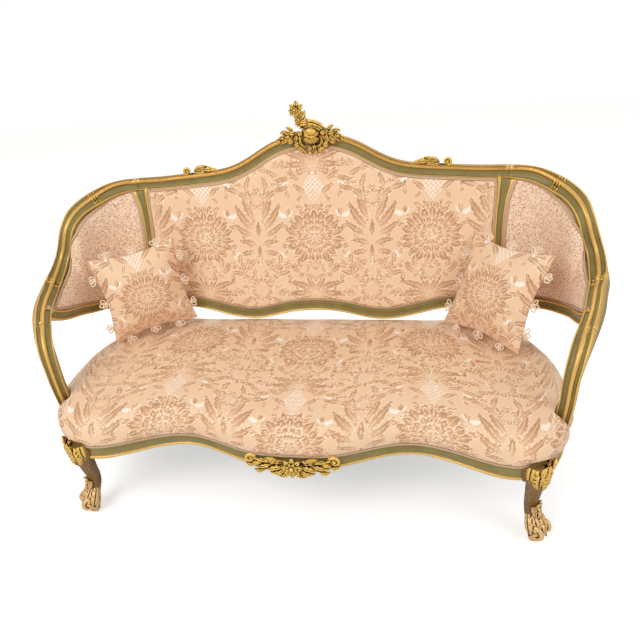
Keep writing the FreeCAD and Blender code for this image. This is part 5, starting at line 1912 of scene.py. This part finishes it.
@dataclass
class Carvings:
    """The gilded carvings of the crest, the apron, the knees and the rails' small collars."""

    plan: Plan
    frame: ShowFrame
    gilding: bpy.types.Material
    leg_wood: bpy.types.Material

    def build(self) -> None:
        """Carve every piece."""
        self.crest()
        self.crest_scrolls()
        self.apron()
        self.legs()
        self.collars()

    def at(self, x: float, y: float, z: float) -> np.ndarray:
        """Return a place in metres from millimetres measured like the plan's."""
        return np.array([x, y + SHIFT_Y / MM, z]) * MM

    def crest(self) -> None:
        """Carve the crest's centre: dome, crown leaf, V scrolls, flower spray and side leaves."""
        at, front = self.at, (0.0, -0.94, 0.34)
        carve = Carver()
        carve.ball(at(4, 446, 1100), (0.033, 0.013, 0.026), 0.0, 12)
        carve.ball(at(5, 436, 1108), (0.020, 0.013, 0.013), 0.15)
        carve.leaf([at(-36, 448, 1116), at(0, 442, 1136), at(38, 444, 1122), at(64, 448, 1094)],
                   0.013, 0.010, front, 6, 0.004)
        carve.leaf([at(-30, 446, 1106), at(-2, 440, 1124), at(34, 442, 1112), at(52, 446, 1088)],
                   0.007, 0.008, front, 3)
        carve.leaf([at(-44, 448, 1124), at(-22, 440, 1134), at(6, 442, 1126)],
                   0.010, 0.009, front, 3)
        for x0, x1, x2, x3 in ((-40, -50, -40, -6), (46, 60, 48, 0)):
            carve.leaf([at(x0, 442, 1108), at(x1, 440, 1080), at(x2, 438, 1058), at(x3, 438, 1036)],
                       0.008, 0.009, front, 5, 0.0, 0.5, 0.5)
            carve.leaf([at(x0 * 0.7, 440, 1094), at(x1 * 0.7, 437, 1074), at(x3, 438, 1050)],
                       0.006, 0.009, front, 3)
        carve.scroll(at(-46, 442, 1090), (1, 0, 0), (0, 0, 1), 0.013, 1.5, 2.0, 0.0045, -1)
        carve.scroll(at(56, 442, 1088), (1, 0, 0), (0, 0, 1), 0.014, 1.5, 1.0, 0.0045, 1)
        carve.ball(at(-3, 436, 1036), (0.006, 0.006, 0.007))
        for k in range(7):
            turn = math.radians(-150 + 20 * k)
            carve.leaf([at(4 + 10 * math.cos(turn), 440, 1092 + 8 * math.sin(turn)),
                        at(4 + 26 * math.cos(turn), 437, 1092 + 22 * math.sin(turn)),
                        at(4 + 36 * math.cos(turn), 442, 1092 + 32 * math.sin(turn))],
                       0.0055, 0.006, front, 2)
        # Side leaves with their berries
        for sign, reach in ((-1, 136), (1, 132)):
            low = 1066 if sign < 0 else 1062
            # Root, middle and tip, half width and lift, then the lobes and the leaf's other shares
            for line, wide, lift, shape in (
                    (((40, 446, 1102), (84, 448, 1094), (reach, 456, low)), 0.012, 0.010,
                     (6, 0.0, 0.35, 0.5)),
                    (((52, 442, 1086), (88, 444, 1080), (112, 448, 1064)), 0.009, 0.009, (4,)),
                    (((76, 446, 1098), (92, 446, 1108), (108, 448, 1102)), 0.008, 0.008, (3,)),
                    (((60, 444, 1104), (72, 446, 1118), (86, 448, 1122)), 0.008, 0.008, (3,))):
                carve.leaf([at(sign * x, y, z) for x, y, z in line], wide, lift, front, *shape)
            for x, z, size in ((78, 1092, 6.0), (98, 1088, 5.0), (66, 1078, 5.5), (112, 1078, 4.0)):
                carve.ball(at(sign * x, 440, z), (size * MM,) * 3)
        # The spray: stem, leaves and two flowers
        carve.roll([at(-24, 448, 1118), at(-32, 448, 1146), at(-40, 450, 1172), at(-44, 452, 1196)],
                   [0.007, 0.006, 0.005, 0.003])
        carve.flower(at(-48, 442, 1178), 0.021, 6, (0.1, -0.96, 0.25), 0.009)
        carve.flower(at(-24, 444, 1162), 0.016, 5, (0.2, -0.96, 0.15), 0.008)
        carve.flower(at(-36, 442, 1146), 0.015, 5, (0.0, -0.96, 0.25), 0.008)
        for x, z, size in ((-30, 1182, 5.0), (-62, 1166, 4.5), (-14, 1148, 5.0), (-46, 1134, 5.0)):
            carve.ball(at(x, 442, z), (size * MM,) * 3)
        for root, tip, wide in (
                ((-44, 1186), (-44, 1209), 0.008), ((-50, 1180), (-66, 1194), 0.007),
                ((-36, 1178), (-20, 1196), 0.007), ((-50, 1166), (-66, 1166), 0.006),
                ((-34, 1150), (-54, 1154), 0.007), ((-30, 1146), (-12, 1176), 0.008),
                ((-28, 1134), (-50, 1140), 0.008), ((-26, 1132), (-6, 1148), 0.008),
                ((-38, 1160), (-28, 1184), 0.006)):
            middle = ((root[0] + tip[0]) / 2 + 3, (root[1] + tip[1]) / 2 + 3)
            carve.leaf([at(root[0], 446, root[1]), at(middle[0], 442, middle[1]),
                        at(tip[0], 448, tip[1])], wide * 1.25, 0.008, front, 3)
        # Leaves that fill the ground between the V scrolls, the dome and the rail
        for x, z, turn, long in (
                (-34, 1066, 200, 26), (-22, 1054, 230, 22), (40, 1064, -20, 26),
                (26, 1052, -50, 22), (-52, 1100, 170, 24), (64, 1096, 10, 24),
                (-58, 1078, 200, 24), (68, 1074, -20, 24), (-30, 1092, 120, 20),
                (42, 1092, 60, 20), (0, 1062, 265, 22), (12, 1064, -80, 20)):
            c, t = math.cos(math.radians(turn)) * long, math.sin(math.radians(turn)) * long
            carve.leaf([at(x, 440, z), at(x + 0.5 * c, 436, z + 0.5 * t + 3),
                        at(x + c, 441, z + t)], 0.009, 0.008, front, 3)
        carve.piece("crest_carving", self.gilding, "crest_cartouche")

    def crest_scrolls(self) -> None:
        """Carve the scroll and leaves that ride on each side of the crest."""
        frame = self.frame
        frames = frame.top.frames([frame.middle + 470])
        place, tangent = frames["place"][0], frames["tangent"][0]
        edge, face = frames["edge"][0], frames["face"][0]
        base = place + edge * (frames["width"][0] / 2 - 0.002) + face * 0.010
        carve = Carver()
        eye = base + tangent * 0.024 + edge * 0.013
        carve.scroll(eye + face * 0.002, tangent, edge, 0.016, 1.6, math.radians(-110), 0.0052, 1)
        carve.ball(eye, (0.008, 0.007, 0.008))
        carve.roll([eye - edge * 0.015 + tangent * 0.002, base - tangent * 0.010,
                    base - tangent * 0.040 + edge * 0.002], [0.0055, 0.006, 0.003])
        # Each leaf's points along and above the rail in millimetres, and its half width
        for *line, wide in (((-2, 3), (-44, 13), (-104, -3), 0.010),
                            ((0, 8), (-22, 20), (-42, 24), 0.009),
                            ((-14, 6), (-36, 22), (-58, 25), 0.008),
                            ((-36, 6), (-58, 17), (-78, 13), 0.007),
                            ((-60, 2), (-78, 9), (-96, 4), 0.006),
                            ((6, -2), (-18, 4), (-52, 2), 0.008)):
            spine = [base + tangent * (u * MM) + edge * (v * MM) + face * (0.004 * k)
                     for k, (u, v) in enumerate(line)]
            carve.leaf(spine, wide, 0.009, face, 4)
        carve.flower(base - tangent * 0.026 + edge * 0.014 + face * 0.006, 0.011, 5, face, 0.006)
        for sides, form in (("right", carve), ("left", carve.mirrored())):
            form.piece(f"{sides}_crest_scroll_carving", self.gilding, f"{sides}_crest_scroll")

    def apron(self) -> None:
        """Carve the apron's centre: rosette, bars, C scrolls and a leafy garland."""
        at, front = self.at, (0.0, -0.97, 0.22)
        carve = Carver()
        carve.flower(at(2, -367, 283), 0.035, 8, front, 0.011)
        for sign in (-1, 1):
            carve.roll([at(sign * 24, -362, 300), at(sign * 60, -361, 297),
                        at(sign * 96, -359, 299), at(sign * 122, -355, 308)],
                       [0.0045, 0.0045, 0.0045, 0.004])
        for sign in (-1, 1):
            line = [at(sign * 22, -358, 298), at(sign * 70, -358, 300), at(sign * 112, -354, 306)]
            carve.leaf(line, 0.009, 0.008, front, 5, 0.0, 0.3, 0.5)
            carve.scroll(at(sign * 134, -350, 300), (sign, 0, 0), (0, 0, 1), 0.019, 1.4,
                         math.radians(160), 0.006, -1)
            carve.leaf([at(sign * 116, -352, 286), at(sign * 136, -352, 276),
                        at(sign * 152, -348, 284)], 0.008, 0.008, front, 3)
            # The garland's leaves: root, middle and tip across and up, and half width
            for a, b, c, wide in (((24, 284), (56, 276), (92, 268), 0.010),
                                  ((18, 272), (44, 258), (74, 254), 0.010),
                                  ((60, 290), (88, 284), (120, 276), 0.009),
                                  ((8, 264), (24, 248), (46, 241), 0.010),
                                  ((84, 270), (104, 262), (122, 266), 0.008),
                                  ((40, 300), (60, 312), (86, 312), 0.007),
                                  ((30, 268), (44, 252), (50, 243), 0.008),
                                  ((92, 292), (110, 296), (126, 286), 0.007)):
                carve.leaf([at(sign * a[0], -358, a[1]), at(sign * b[0], -363, b[1]),
                            at(sign * c[0], -357, c[1])], wide, 0.009, front, 4)
            for x, z, size in ((48, 284, 5.0), (66, 268, 5.0), (88, 282, 4.5), (36, 250, 4.5)):
                carve.ball(at(sign * x, -364, z), (size * MM,) * 3)
        carve.leaf([at(0, -356, 262), at(0, -362, 250), at(0, -357, 239)], 0.013, 0.008, front, 4)
        carve.piece("apron_carving", self.gilding, "apron_cartouche")

    def leg_line(self) -> tuple[np.ndarray, np.ndarray]:
        """Return the right leg's centres and radii from under the rail to the glide, in metres.

        Returns:
            The centres and the radii.
        """
        # height and outward reach as shares, how far back and the radius in millimetres
        rows = ((1.0, 0.20, 3, 30), (0.93, 0.42, 4, 29), (0.80, 0.46, 12, 25),
                (0.64, 0.48, 20, 22), (0.50, 0.52, 27, 20), (0.36, 0.64, 17, 22),
                (0.26, 0.86, 3, 28), (0.17, 0.98, 0, 29), (0.09, 1.0, 0, 24),
                (0.05, 1.0, 0, 18), (0.0, 1.0, 0, 16))
        centres = [self.at(self.plan.leg_x + 40 * out, self.plan.leg_y - 8 * out + back,
                           4 + 262 * rise) for rise, out, back, _ in rows]
        return np.array(centres), np.array([radius for *_, radius in rows]) * MM

    def leg_grid(self) -> np.ndarray:
        """Return the right leg's rings of points, its square block first.

        Returns:
            The points, ring by ring from the top.
        """
        centres, radii = self.leg_line()
        s = np.linspace(0, 1, 60)
        smooth = SmoothCurve(centres)
        place, _ = smooth.at(s * smooth.stops[-1])
        radius = np.interp(s * smooth.stops[-1], smooth.stops, radii)
        for _ in range(3):
            radius[1:-1] = 0.5 * radius[1:-1] + 0.25 * (radius[:-2] + radius[2:])
        angle = np.linspace(0, 2 * math.pi, LEG_SIDES, endpoint=False)
        # A section between a circle and a square
        round_off = (np.abs(np.cos(angle)) ** 3.2 + np.abs(np.sin(angle)) ** 3.2) ** (-1 / 3.2)
        ring = np.stack([np.cos(angle) * round_off, np.sin(angle) * round_off,
                         np.zeros(LEG_SIDES)], 1)
        size = 0.97 * (radius[:, None, None])
        return np.concatenate([self.block_rings(), place[:, None] + ring[None] * size])

    def wrapped(self, way: np.ndarray, rows: Sequence[tuple[float, float]]) -> list[np.ndarray]:
        """Return places on one side of the right leg.

        Args:
            way: the level direction that the side faces.
            rows: heights in mm and how far each place stands off the leg's centre in metres.

        Returns:
            The places in metres.
        """
        return [self.at(*self.leg_centre(z), z) + way * proud for z, proud in rows]

    def knee(self, outer: np.ndarray) -> Carver:
        """Carve the right leg's knee: five leaves, and two curls over the rail's corner.

        Args:
            outer: the level direction of the knee's ridge.

        Returns:
            The carving.
        """
        knee = Carver()
        rows = ((318, 0.036), (300, 0.042), (276, 0.039), (250, 0.032), (228, 0.027), (208, 0.025))
        for lean, reach, wide in ((0.0, 1.0, 0.025), (0.75, 0.90, 0.021), (-0.75, 0.90, 0.021),
                                  (1.40, 0.70, 0.017), (-1.40, 0.70, 0.017)):
            way = self.turned(outer, lean)
            spine = [(322 - (322 - z) * reach, proud * (1.0 if lean == 0 else 0.92))
                     for z, proud in rows]
            knee.leaf(self.wrapped(way, spine), wide, 0.010, way, 7, 0.0, 0.30, 0.85)
        for lean in (-0.5, 0.5):
            way = self.turned(outer, lean)
            root, = self.wrapped(way, [(300, 0.042)])
            spine = [root, root + (0, 0, 0.020) + way * 0.006, root + (0, 0, 0.046) + way * 0.008]
            knee.leaf(spine, 0.017, 0.008, way, 4, 0.004, 0.5, 0.7)
            knee.scroll(root - way * 0.002 + (0, 0, 0.010), np.cross(UP, way), UP, 0.011, 1.2, 0.5,
                        0.0035, 1 if lean > 0 else -1)
        return knee

    def foot(self, outer: np.ndarray) -> Carver:
        """Carve the right leg's shin leaves and the leaves and volutes that wrap its foot.

        Args:
            outer: the level direction of the foot's toe.

        Returns:
            The carving.
        """
        carve = Carver()
        for lean, low, high, wide, proud in ((0.0, 92, 150, 0.013, 0.025),
                                             (0.7, 98, 140, 0.010, 0.023),
                                             (-0.7, 98, 140, 0.010, 0.023)):
            way = self.turned(outer, lean)
            spine = ((low, proud), ((low + high) / 2, proud + 0.001), (high - 8, proud + 0.002),
                     (high, proud + 0.010))
            carve.leaf(self.wrapped(way, spine), wide, 0.007, way, 4, 0.003, 0.6, 0.5)
        spine = ((106, 0.022), (86, 0.028), (66, 0.032), (48, 0.031), (38, 0.034))
        for lean, wide in ((0.0, 0.017), (0.8, 0.016), (-0.8, 0.016), (1.6, 0.015), (-1.6, 0.015)):
            way = self.turned(outer, lean)
            carve.leaf(self.wrapped(way, spine), wide, 0.008, way, 4, 0.006, 0.55, 0.6)
        side = np.cross(UP, outer)
        foot = self.at(*self.leg_centre(52), 52)
        for sign in (-1, 1):
            carve.scroll(foot + side * sign * 0.024 + outer * 0.014, outer, UP, 0.025, 1.6,
                         math.radians(110), 0.008, -1)
            carve.ball(foot + side * sign * 0.016 + outer * 0.012, (0.019, 0.015, 0.019))
        return carve

    def legs(self) -> None:
        """Build the two cabriole legs with their carved knees, shins and scroll feet."""
        outer = unit(np.array([0.80, -0.60, 0.0]))
        grid, foot, knee = self.leg_grid(), self.foot(outer), self.knee(outer)
        for side, sign in (("right", 1), ("left", -1)):
            body = mesh_object(f"{side}_cabriole_leg", grid.reshape(-1, 3) * (sign, 1, 1),
                               tube_faces(len(grid), LEG_SIDES))
            outward(body)
            # The lowest 100 mm are gilded, the rest shows paint through worn gold
            low = np.clip((0.10 - points_of(body)[:, 2]) / 0.02, 0, 0.65)
            set_attribute(body, "gilt", 0.35 + low)
            mark_hollows(body)
            leaves = (foot if sign > 0 else foot.mirrored()).gilded(f"{side}_foot_leaves")
            whole = joined(f"{side}_cabriole_leg", [body, leaves])
            finish(whole, self.leg_wood, [f"{side}_front_leg"])
            form = knee if sign > 0 else knee.mirrored()
            form.piece(f"{side}_knee_leaf_carving", self.gilding, f"{side}_knee_acanthus")

    def turned(self, way: np.ndarray, lean: float) -> np.ndarray:
        """Return a level direction turned by an angle."""
        c, s = math.cos(lean), math.sin(lean)
        return np.array([way[0] * c - way[1] * s, way[0] * s + way[1] * c, 0.0])

    def leg_centre(self, z: float) -> tuple[float, float]:
        """Return the right leg's centre at a height, in the plan's millimetres.

        Args:
            z: the height in millimetres.

        Returns:
            x and y in millimetres.
        """
        centres, _ = self.leg_line()
        order = np.argsort(centres[:, 2])
        x = np.interp(z * MM, centres[order, 2], centres[order, 0]) / MM
        y = np.interp(z * MM, centres[order, 2], centres[order, 1]) / MM - SHIFT_Y / MM
        return x, y

    def block_rings(self) -> np.ndarray:
        """Return the rings of the square block at the head of the right leg.

        Returns:
            The points, ring by ring from the top.
        """
        angle = np.linspace(0, 2 * math.pi, LEG_SIDES, endpoint=False)
        square = (np.abs(np.cos(angle)) ** 9 + np.abs(np.sin(angle)) ** 9) ** (-1 / 9)
        rings = []
        for z, size in ((315.6, 29.5), (314, 30.6), (300, 30.8), (284, 30.8), (271, 30.8),
                        (268, 30.4)):
            reach = square * size * MM
            ring = np.stack([np.cos(angle) * reach, np.sin(angle) * reach, np.zeros(LEG_SIDES)], 1)
            rings.append(ring + self.at(self.plan.leg_x, self.plan.leg_y, z))
        return np.array(rings)

    def collars(self) -> None:
        """Carve the three small ribs that cross the rails on each wing and arm."""
        frame = self.frame
        carve = Carver()
        # Only the section's front is crossed by a rib
        profile = np.array(SHOW_PROFILE)[3:28]
        lift = np.array([0.0, 0.0022, 0.0032, 0.0022, 0.0])
        for centre in (frame.wing_at + 180, frame.arm_at):
            for k in (-1, 0, 1):
                reach = centre + 10 * k + np.array([-3.0, -2.2, 0.0, 2.2, 3.0])
                frames = frame.top.frames(reach)
                wide = profile[None, :, 0] * frames["width"][:, None]
                depth = frames["depth"][:, None]
                deep = depth / 2 + profile[None, :, 1] * depth + lift[:, None]
                top = (frames["place"][:, None] + frames["edge"][:, None] * wide[:, :, None]
                       + frames["face"][:, None] * deep[:, :, None])
                under = top - frames["face"][:, None] * (lift[:, None, None] + 0.004)
                carve.add(np.concatenate([top, under[:, ::-1]], axis=1))
        both = carve.mirrored()
        carve.verts += both.verts
        carve.faces += [tuple(k + both.count for k in face) for face in both.faces]
        carve.piece("rail_collars", self.gilding, "collars")


# Loose pillows

@dataclass
class Pillow:
    """A loose square pillow with knife edges, filled by simulation, and looped cord knots."""

    side: str
    centre: tuple[float, float, float]
    turn: float
    lean: float
    roll: float
    size: float = 330.0
    thick: float = 112.0
    cells: int = 44
    seed: int = 3
    # The flat squares' size over the filled pillow's
    cut_share: float = 1.13

    def filled(self, figure: DamaskFigure) -> bpy.types.Object:
        """Return the pillow, blown up from two flat squares of cloth sewn at their edges.

        Args:
            figure: the damask's figure.

        Returns:
            The pillow in its own frame.
        """
        n = self.cells
        cut = self.cut_share * self.size * MM
        grid = np.linspace(-cut / 2, cut / 2, n + 1)
        x, z = np.meshgrid(grid, grid)
        # The squares start a little curved, with their sides drawn in between the corners
        ease = (1 - (2 * x / cut) ** 2) * (1 - (2 * z / cut) ** 2)
        x = x * (1 - 0.05 * (1 - (2 * z / cut) ** 2))
        z = z * (1 - 0.05 * (1 - (2 * grid[None, :] / cut) ** 2))
        verts, faces, index = [], [], {}
        for layer, sign in enumerate((-1, 1)):
            for i in range(n + 1):
                for j in range(n + 1):
                    rim = i in (0, n) or j in (0, n)
                    if rim and layer:
                        index[layer, i, j] = index[0, i, j]
                        continue
                    index[layer, i, j] = len(verts)
                    verts.append((x[i, j], sign * 0.018 * ease[i, j] ** 0.5, z[i, j]))
            for i in range(n):
                for j in range(n):
                    face = [index[layer, i, j], index[layer, i, j + 1],
                            index[layer, i + 1, j + 1], index[layer, i + 1, j]]
                    faces.append(face if sign < 0 else face[::-1])
        piece = mesh_object(f"{self.side}_damask_pillow", np.array(verts), faces)
        flat = np.array(verts)
        self.simulate(piece)
        full = points_of(piece)
        # The seam's cord holds the edges, so the sides draw in by a fraction only
        held, drawn = 0.80, 0.20
        keep = flat / self.cut_share
        full = full - (full.max(0) + full.min(0)) / 2
        move_points(piece, np.stack([held * keep[:, 0] + drawn * full[:, 0], full[:, 1],
                                     held * keep[:, 2] + drawn * full[:, 2]], 1))
        self.fit(piece)
        apply_modifier(piece, "SUBSURF", levels=1, render_levels=1)
        apply_modifier(piece, "SUBSURF", levels=1, render_levels=1)
        places = points_of(piece)
        # The pillows' cloth is cut with a slightly smaller figure
        across, up = places[:, 0] * 1.12, places[:, 2] * 1.12 + 0.02
        set_attribute(piece, "figure", figure.value(across, up))
        return piece

    def simulate(self, piece: bpy.types.Object) -> None:
        """Blow the pillow up with cloth pressure and apply the result.

        Args:
            piece: the two sewn squares.
        """
        scene = bpy.context.scene
        modifier = piece.modifiers.new("filling", "CLOTH")
        settings = modifier.settings
        settings.quality = 6
        settings.mass = 0.25
        settings.tension_stiffness = settings.compression_stiffness = 22
        settings.bending_stiffness = 0.6
        settings.use_pressure = True
        settings.uniform_pressure_force = 4.0
        settings.effector_weights.gravity = 0.0
        modifier.collision_settings.use_self_collision = False
        for number in range(1, 21):
            scene.frame_set(number)
        choose(piece)
        bpy.ops.object.modifier_apply(modifier=modifier.name)
        scene.frame_set(1)

    def fit(self, piece: bpy.types.Object) -> None:
        """Scale the filled pillow to its real size.

        Args:
            piece: the filled pillow.
        """
        places = points_of(piece)
        span = places.max(0) - places.min(0)
        want = np.array([self.size, self.thick, self.size]) * MM
        places = (places - (places.max(0) + places.min(0)) / 2) * want / span
        move_points(piece, places)

    def knots(self, piece: bpy.types.Object) -> Carver:
        """Return looped cord knots sewn along the pillow's edges, in its own frame.

        Args:
            piece: the filled pillow in its own frame.

        Returns:
            The knots.
        """
        places = points_of(piece)
        carve = Carver(floor=-1.0)
        draw = np.random.default_rng(self.seed)
        stations = ([(-0.5, k) for k in (-0.30, -0.02, 0.26)]
                    + [(0.5, k) for k in (-0.28, 0.0, 0.27)])
        spots = [(a, b, True) for a, b in stations] + [(b, a, False) for a, b in stations]
        for a, b, upright in spots:
            guess = np.array([a, 0, b]) * self.size * MM
            rim = places[np.argmin(np.linalg.norm(places - guess, axis=1))]
            out = np.array([np.sign(a), 0, 0]) if upright else np.array([0, 0, np.sign(b)])
            other = np.array([0, 0, 1.0]) if upright else np.array([1.0, 0, 0])
            carve.ball(rim + out * 0.004, (0.0055, 0.0055, 0.0055))
            for spread in (-0.9, 0.0, 0.9):
                spread += draw.uniform(-0.2, 0.2)
                way = out * math.cos(spread) + other * math.sin(spread)
                depth = np.array([0, draw.uniform(-0.5, 0.5), 0])
                wide = np.cross(way, (0, 1.0, 0)) + depth
                long = draw.uniform(0.018, 0.026)
                angle = np.linspace(0, 2 * math.pi, 18)
                loop = (rim + out * 0.005 + way * (long / 2 * (1 - np.cos(angle)))[:, None]
                        + wide * (0.0068 * np.sin(angle))[:, None])
                carve.roll(loop, np.full(18, 0.0024), 6, 0.15)
        return carve

    def place(self, verts: np.ndarray) -> np.ndarray:
        """Return points moved from the pillow's own frame to where it leans.

        Args:
            verts: the points in metres.

        Returns:
            The moved points.
        """
        roll = Matrix.Rotation(math.radians(self.roll), 3, "Y")
        lean = Matrix.Rotation(math.radians(self.lean), 3, "X")
        turn = Matrix.Rotation(math.radians(self.turn), 3, "Z")
        whole = np.array(turn @ lean @ roll)
        return verts @ whole.T + np.array(self.centre) * MM + (0, SHIFT_Y, 0)

    def build(self, damask: bpy.types.Material, cord: bpy.types.Material,
              figure: DamaskFigure) -> None:
        """Build the pillow and its knots where they lie.

        Args:
            damask: the cloth.
            cord: the knots' finish.
            figure: the damask's figure.
        """
        body = Body.LEFT_PILLOW if self.side == "left" else Body.RIGHT_PILLOW
        piece = self.filled(figure)
        knots = self.knots(piece)
        move_points(piece, self.place(points_of(piece)))
        finish(piece, damask, [f"{self.side}_pillow"], body)
        trim = mesh_object(f"{self.side}_pillow_knots", self.place(np.concatenate(knots.verts)),
                           knots.faces)
        outward(trim, 1e-6, False)
        # Painted shade in the cord's hollows, from the braid's material
        mark_hollows(trim, 0, 1.0)
        finish(trim, cord, (), body)


# Stage, camera and light

@dataclass
class Stage:
    """The pale floor and backdrop, the camera and the lamps."""

    place: tuple[float, float, float] = (0.342, -1.643 + SHIFT_Y, 1.535)
    yaw: float = 11.54
    pitch: float = -32.78
    roll: float = -5.29
    focus: float = 574.8
    centre: tuple[float, float] = (306.9, 357.0)
    frame_size: float = 640.0

    def build(self) -> None:
        """Build the floor and the backdrop, place the lamps and the camera."""
        self.floor()
        self.camera()
        self.lamps()

    def floor(self) -> None:
        """Lay the floor."""
        choose_none()
        bpy.ops.mesh.primitive_plane_add(size=14, location=(0, 0, 0))
        floor = bpy.context.active_object
        floor.name = "studio_floor"
        floor.data.materials.append(self.floor_material())

    def floor_material(self) -> bpy.types.Material:
        """Return the pale floor, which turns to plain white away from the sofa.

        Returns:
            The floor's material.
        """
        material, tree, shader = new_material("matt_studio_paper")
        shader.inputs["Base Color"].default_value = linear("#f4f2f0")
        shader.inputs["Roughness"].default_value = 0.9
        shader.inputs["Emission Color"].default_value = linear("#ffffff")
        rays = add_node(tree, "LightPath")
        tree.links.new(sums(tree, "MULTIPLY", rays.outputs["Is Camera Ray"], 0.42),
                       shader.inputs["Emission Strength"])
        return material

    def camera(self) -> None:
        """Set the camera where the photograph was taken from."""
        yaw, pitch, roll = (math.radians(a) for a in (self.yaw, self.pitch, self.roll))
        ahead = Vector((-math.sin(yaw) * math.cos(pitch), math.cos(yaw) * math.cos(pitch),
                        math.sin(pitch)))
        right = Vector((math.cos(yaw), math.sin(yaw), 0))
        above = right.cross(ahead)
        side = right * math.cos(roll) + above * math.sin(roll)
        top = above * math.cos(roll) - right * math.sin(roll)
        data = bpy.data.cameras.new("studio_camera")
        data.sensor_width, data.sensor_fit = 36.0, "HORIZONTAL"
        data.lens = self.focus / self.frame_size * data.sensor_width
        data.shift_x = (self.frame_size / 2 - self.centre[0]) / self.frame_size
        data.shift_y = (self.centre[1] - self.frame_size / 2) / self.frame_size
        data.clip_end = 50
        lens = bpy.data.objects.new("studio_camera", data)
        turned = Matrix((side, top, -ahead)).transposed().to_4x4()
        lens.matrix_world = Matrix.Translation(self.place) @ turned
        bpy.context.scene.collection.objects.link(lens)
        bpy.context.scene.camera = lens

    def lamps(self) -> None:
        """Place soft lamps and a pale surround."""
        scene = bpy.context.scene
        scene.view_settings.view_transform = "Standard"
        world = bpy.data.worlds.new("studio")
        world.use_nodes = True
        scene.world = world
        tree = world.node_tree
        sky = tree.nodes["Background"]
        rays = add_node(tree, "LightPath")
        # Plain white behind the sofa, and less light from it on the sofa
        seen = sums(tree, "MAXIMUM", rays.outputs["Is Camera Ray"],
                    rays.outputs["Is Transmission Ray"])
        strength = sums(tree, "ADD", sums(tree, "MULTIPLY", seen, 0.38), 0.62)
        tree.links.new(strength, sky.inputs["Strength"])
        sky.inputs["Color"].default_value = linear("#ffffff")
        for name, place, size, power in (("key_softbox", (-1.6, -2.6, 3.2), 2.2, 66.0),
                                         ("fill_softbox", (2.6, -1.8, 2.2), 2.0, 22.0),
                                         ("back_softbox", (0.4, 2.6, 2.8), 2.2, 22.0)):
            data = bpy.data.lights.new(name, "AREA")
            data.size, data.energy = size, power
            lamp = bpy.data.objects.new(name, data)
            lamp.location = place
            aim = Vector((0, 0, 0.6)) - Vector(place)
            lamp.rotation_euler = aim.to_track_quat("-Z", "Y").to_euler()
            scene.collection.objects.link(lamp)


def dress_nodes(nodes: Iterable[str], material: bpy.types.Material) -> None:
    """Give construction nodes a material.

    Args:
        nodes: the nodes' names.
        material: the finish.
    """
    for node in nodes:
        piece = bpy.data.objects[node]
        piece.data.materials.clear()
        piece.data.materials.append(material)


def main() -> None:
    """Build the sofa's pieces in order and report them."""
    logging.basicConfig(level=logging.INFO, format="%(message)s")
    plan = Plan()
    # Soft olive paint whose ridges catch the light as rubbed gold
    paint = PaintAndGilt("green_paint_with_gilt").make()
    # Bright gold leaf on the high leaves with a painted highlight, and dark glaze with painted
    # shade nearly black in the cuts, so the carving reads as deep
    gilding = PaintAndGilt("water_gilding", gold="#8f5f1e", gold_bright="#ecc262",
                           gold_dull="#4e2f0c", glaze_and_shade="#1c0e02", glaze_and_shade_share=0.9,
                           mottle=1.1).make()
    show = ShowFrame(plan, paint)
    show.build()
    # A cream satin ground with a tan figure, worn-looking and warm
    damask = Damask("woven_damask").make()
    # A pale, matt, nubbly panel that sets off the damask
    chenille = Chenille("nubbed_chenille").make()
    # Straight-grained yellow wood under the seat
    beech = PlainFinish("bare_beech", "#c9a777", "#a9844f", (40.0, 40.0, 400.0)).make()
    dress_nodes(["seat_brace", "corner_blocks", "dowels"], beech)
    # Coarse brown bands
    webbing = PlainFinish("jute_webbing", "#b99a6b", "#8d6f45", (160.0, 160.0, 900.0), 0.9).make()
    dress_nodes(["back_webbing", "seat_webbing"], webbing)
    # A flat dark cloth that ends the view from below
    lining = PlainFinish("black_dust_cloth", "#3a3735", "#252322", (900.0, 900.0, 900.0),
                         0.95).make()
    dress_nodes(["dust_cover"], lining)
    # Small cold glints
    steel = PlainFinish("zinc_plated_steel", "#c9c9c6", "#9a9a98", (500.0, 500.0, 500.0),
                        0.35, 1.0).make()
    dress_nodes(["block_screws", "glides"], steel)
    # A pale corded edge with painted shade in the gaps between its cords, which outlines every
    # panel
    braid = Braid("cotton_gimp_braid").make()
    # Quiet oatmeal cloth over the backs
    cloth = PlainFinish("linen_back_cloth", "#dcc4a8", "#c3a98c", (700.0, 700.0, 700.0),
                        0.85).make()
    upholstery = Upholstery(plan, show, damask, chenille, braid, cloth,
                            spacing=CLOTH_SPACING)
    upholstery.build()
    for pillow in (Pillow("right", (643, 204, 604), -48, -25, -2.6, 340.0),
                   Pillow("left", (-637, 200, 612), 30, -12, -4, seed=8)):
        pillow.build(damask, braid, upholstery.figure)
    # Darker worn gold over brown, with pale tips that are partly a painted highlight, and painted
    # shade in the hollows: the legs' old gilding
    leg_wood = PaintAndGilt("antiqued_leg_gilding", paint="#8a652a", paint_deep="#5a3d15",
                            gold="#8a5a26", gold_bright="#e6bd82", gold_dull="#4c2d0e",
                            glaze_and_shade="#1c0e02", glaze_and_shade_share=0.9, mottle=1.2).make()
    Carvings(plan, show, gilding, leg_wood).build()
    Stage().build()


if __name__ == "__main__":
    main()
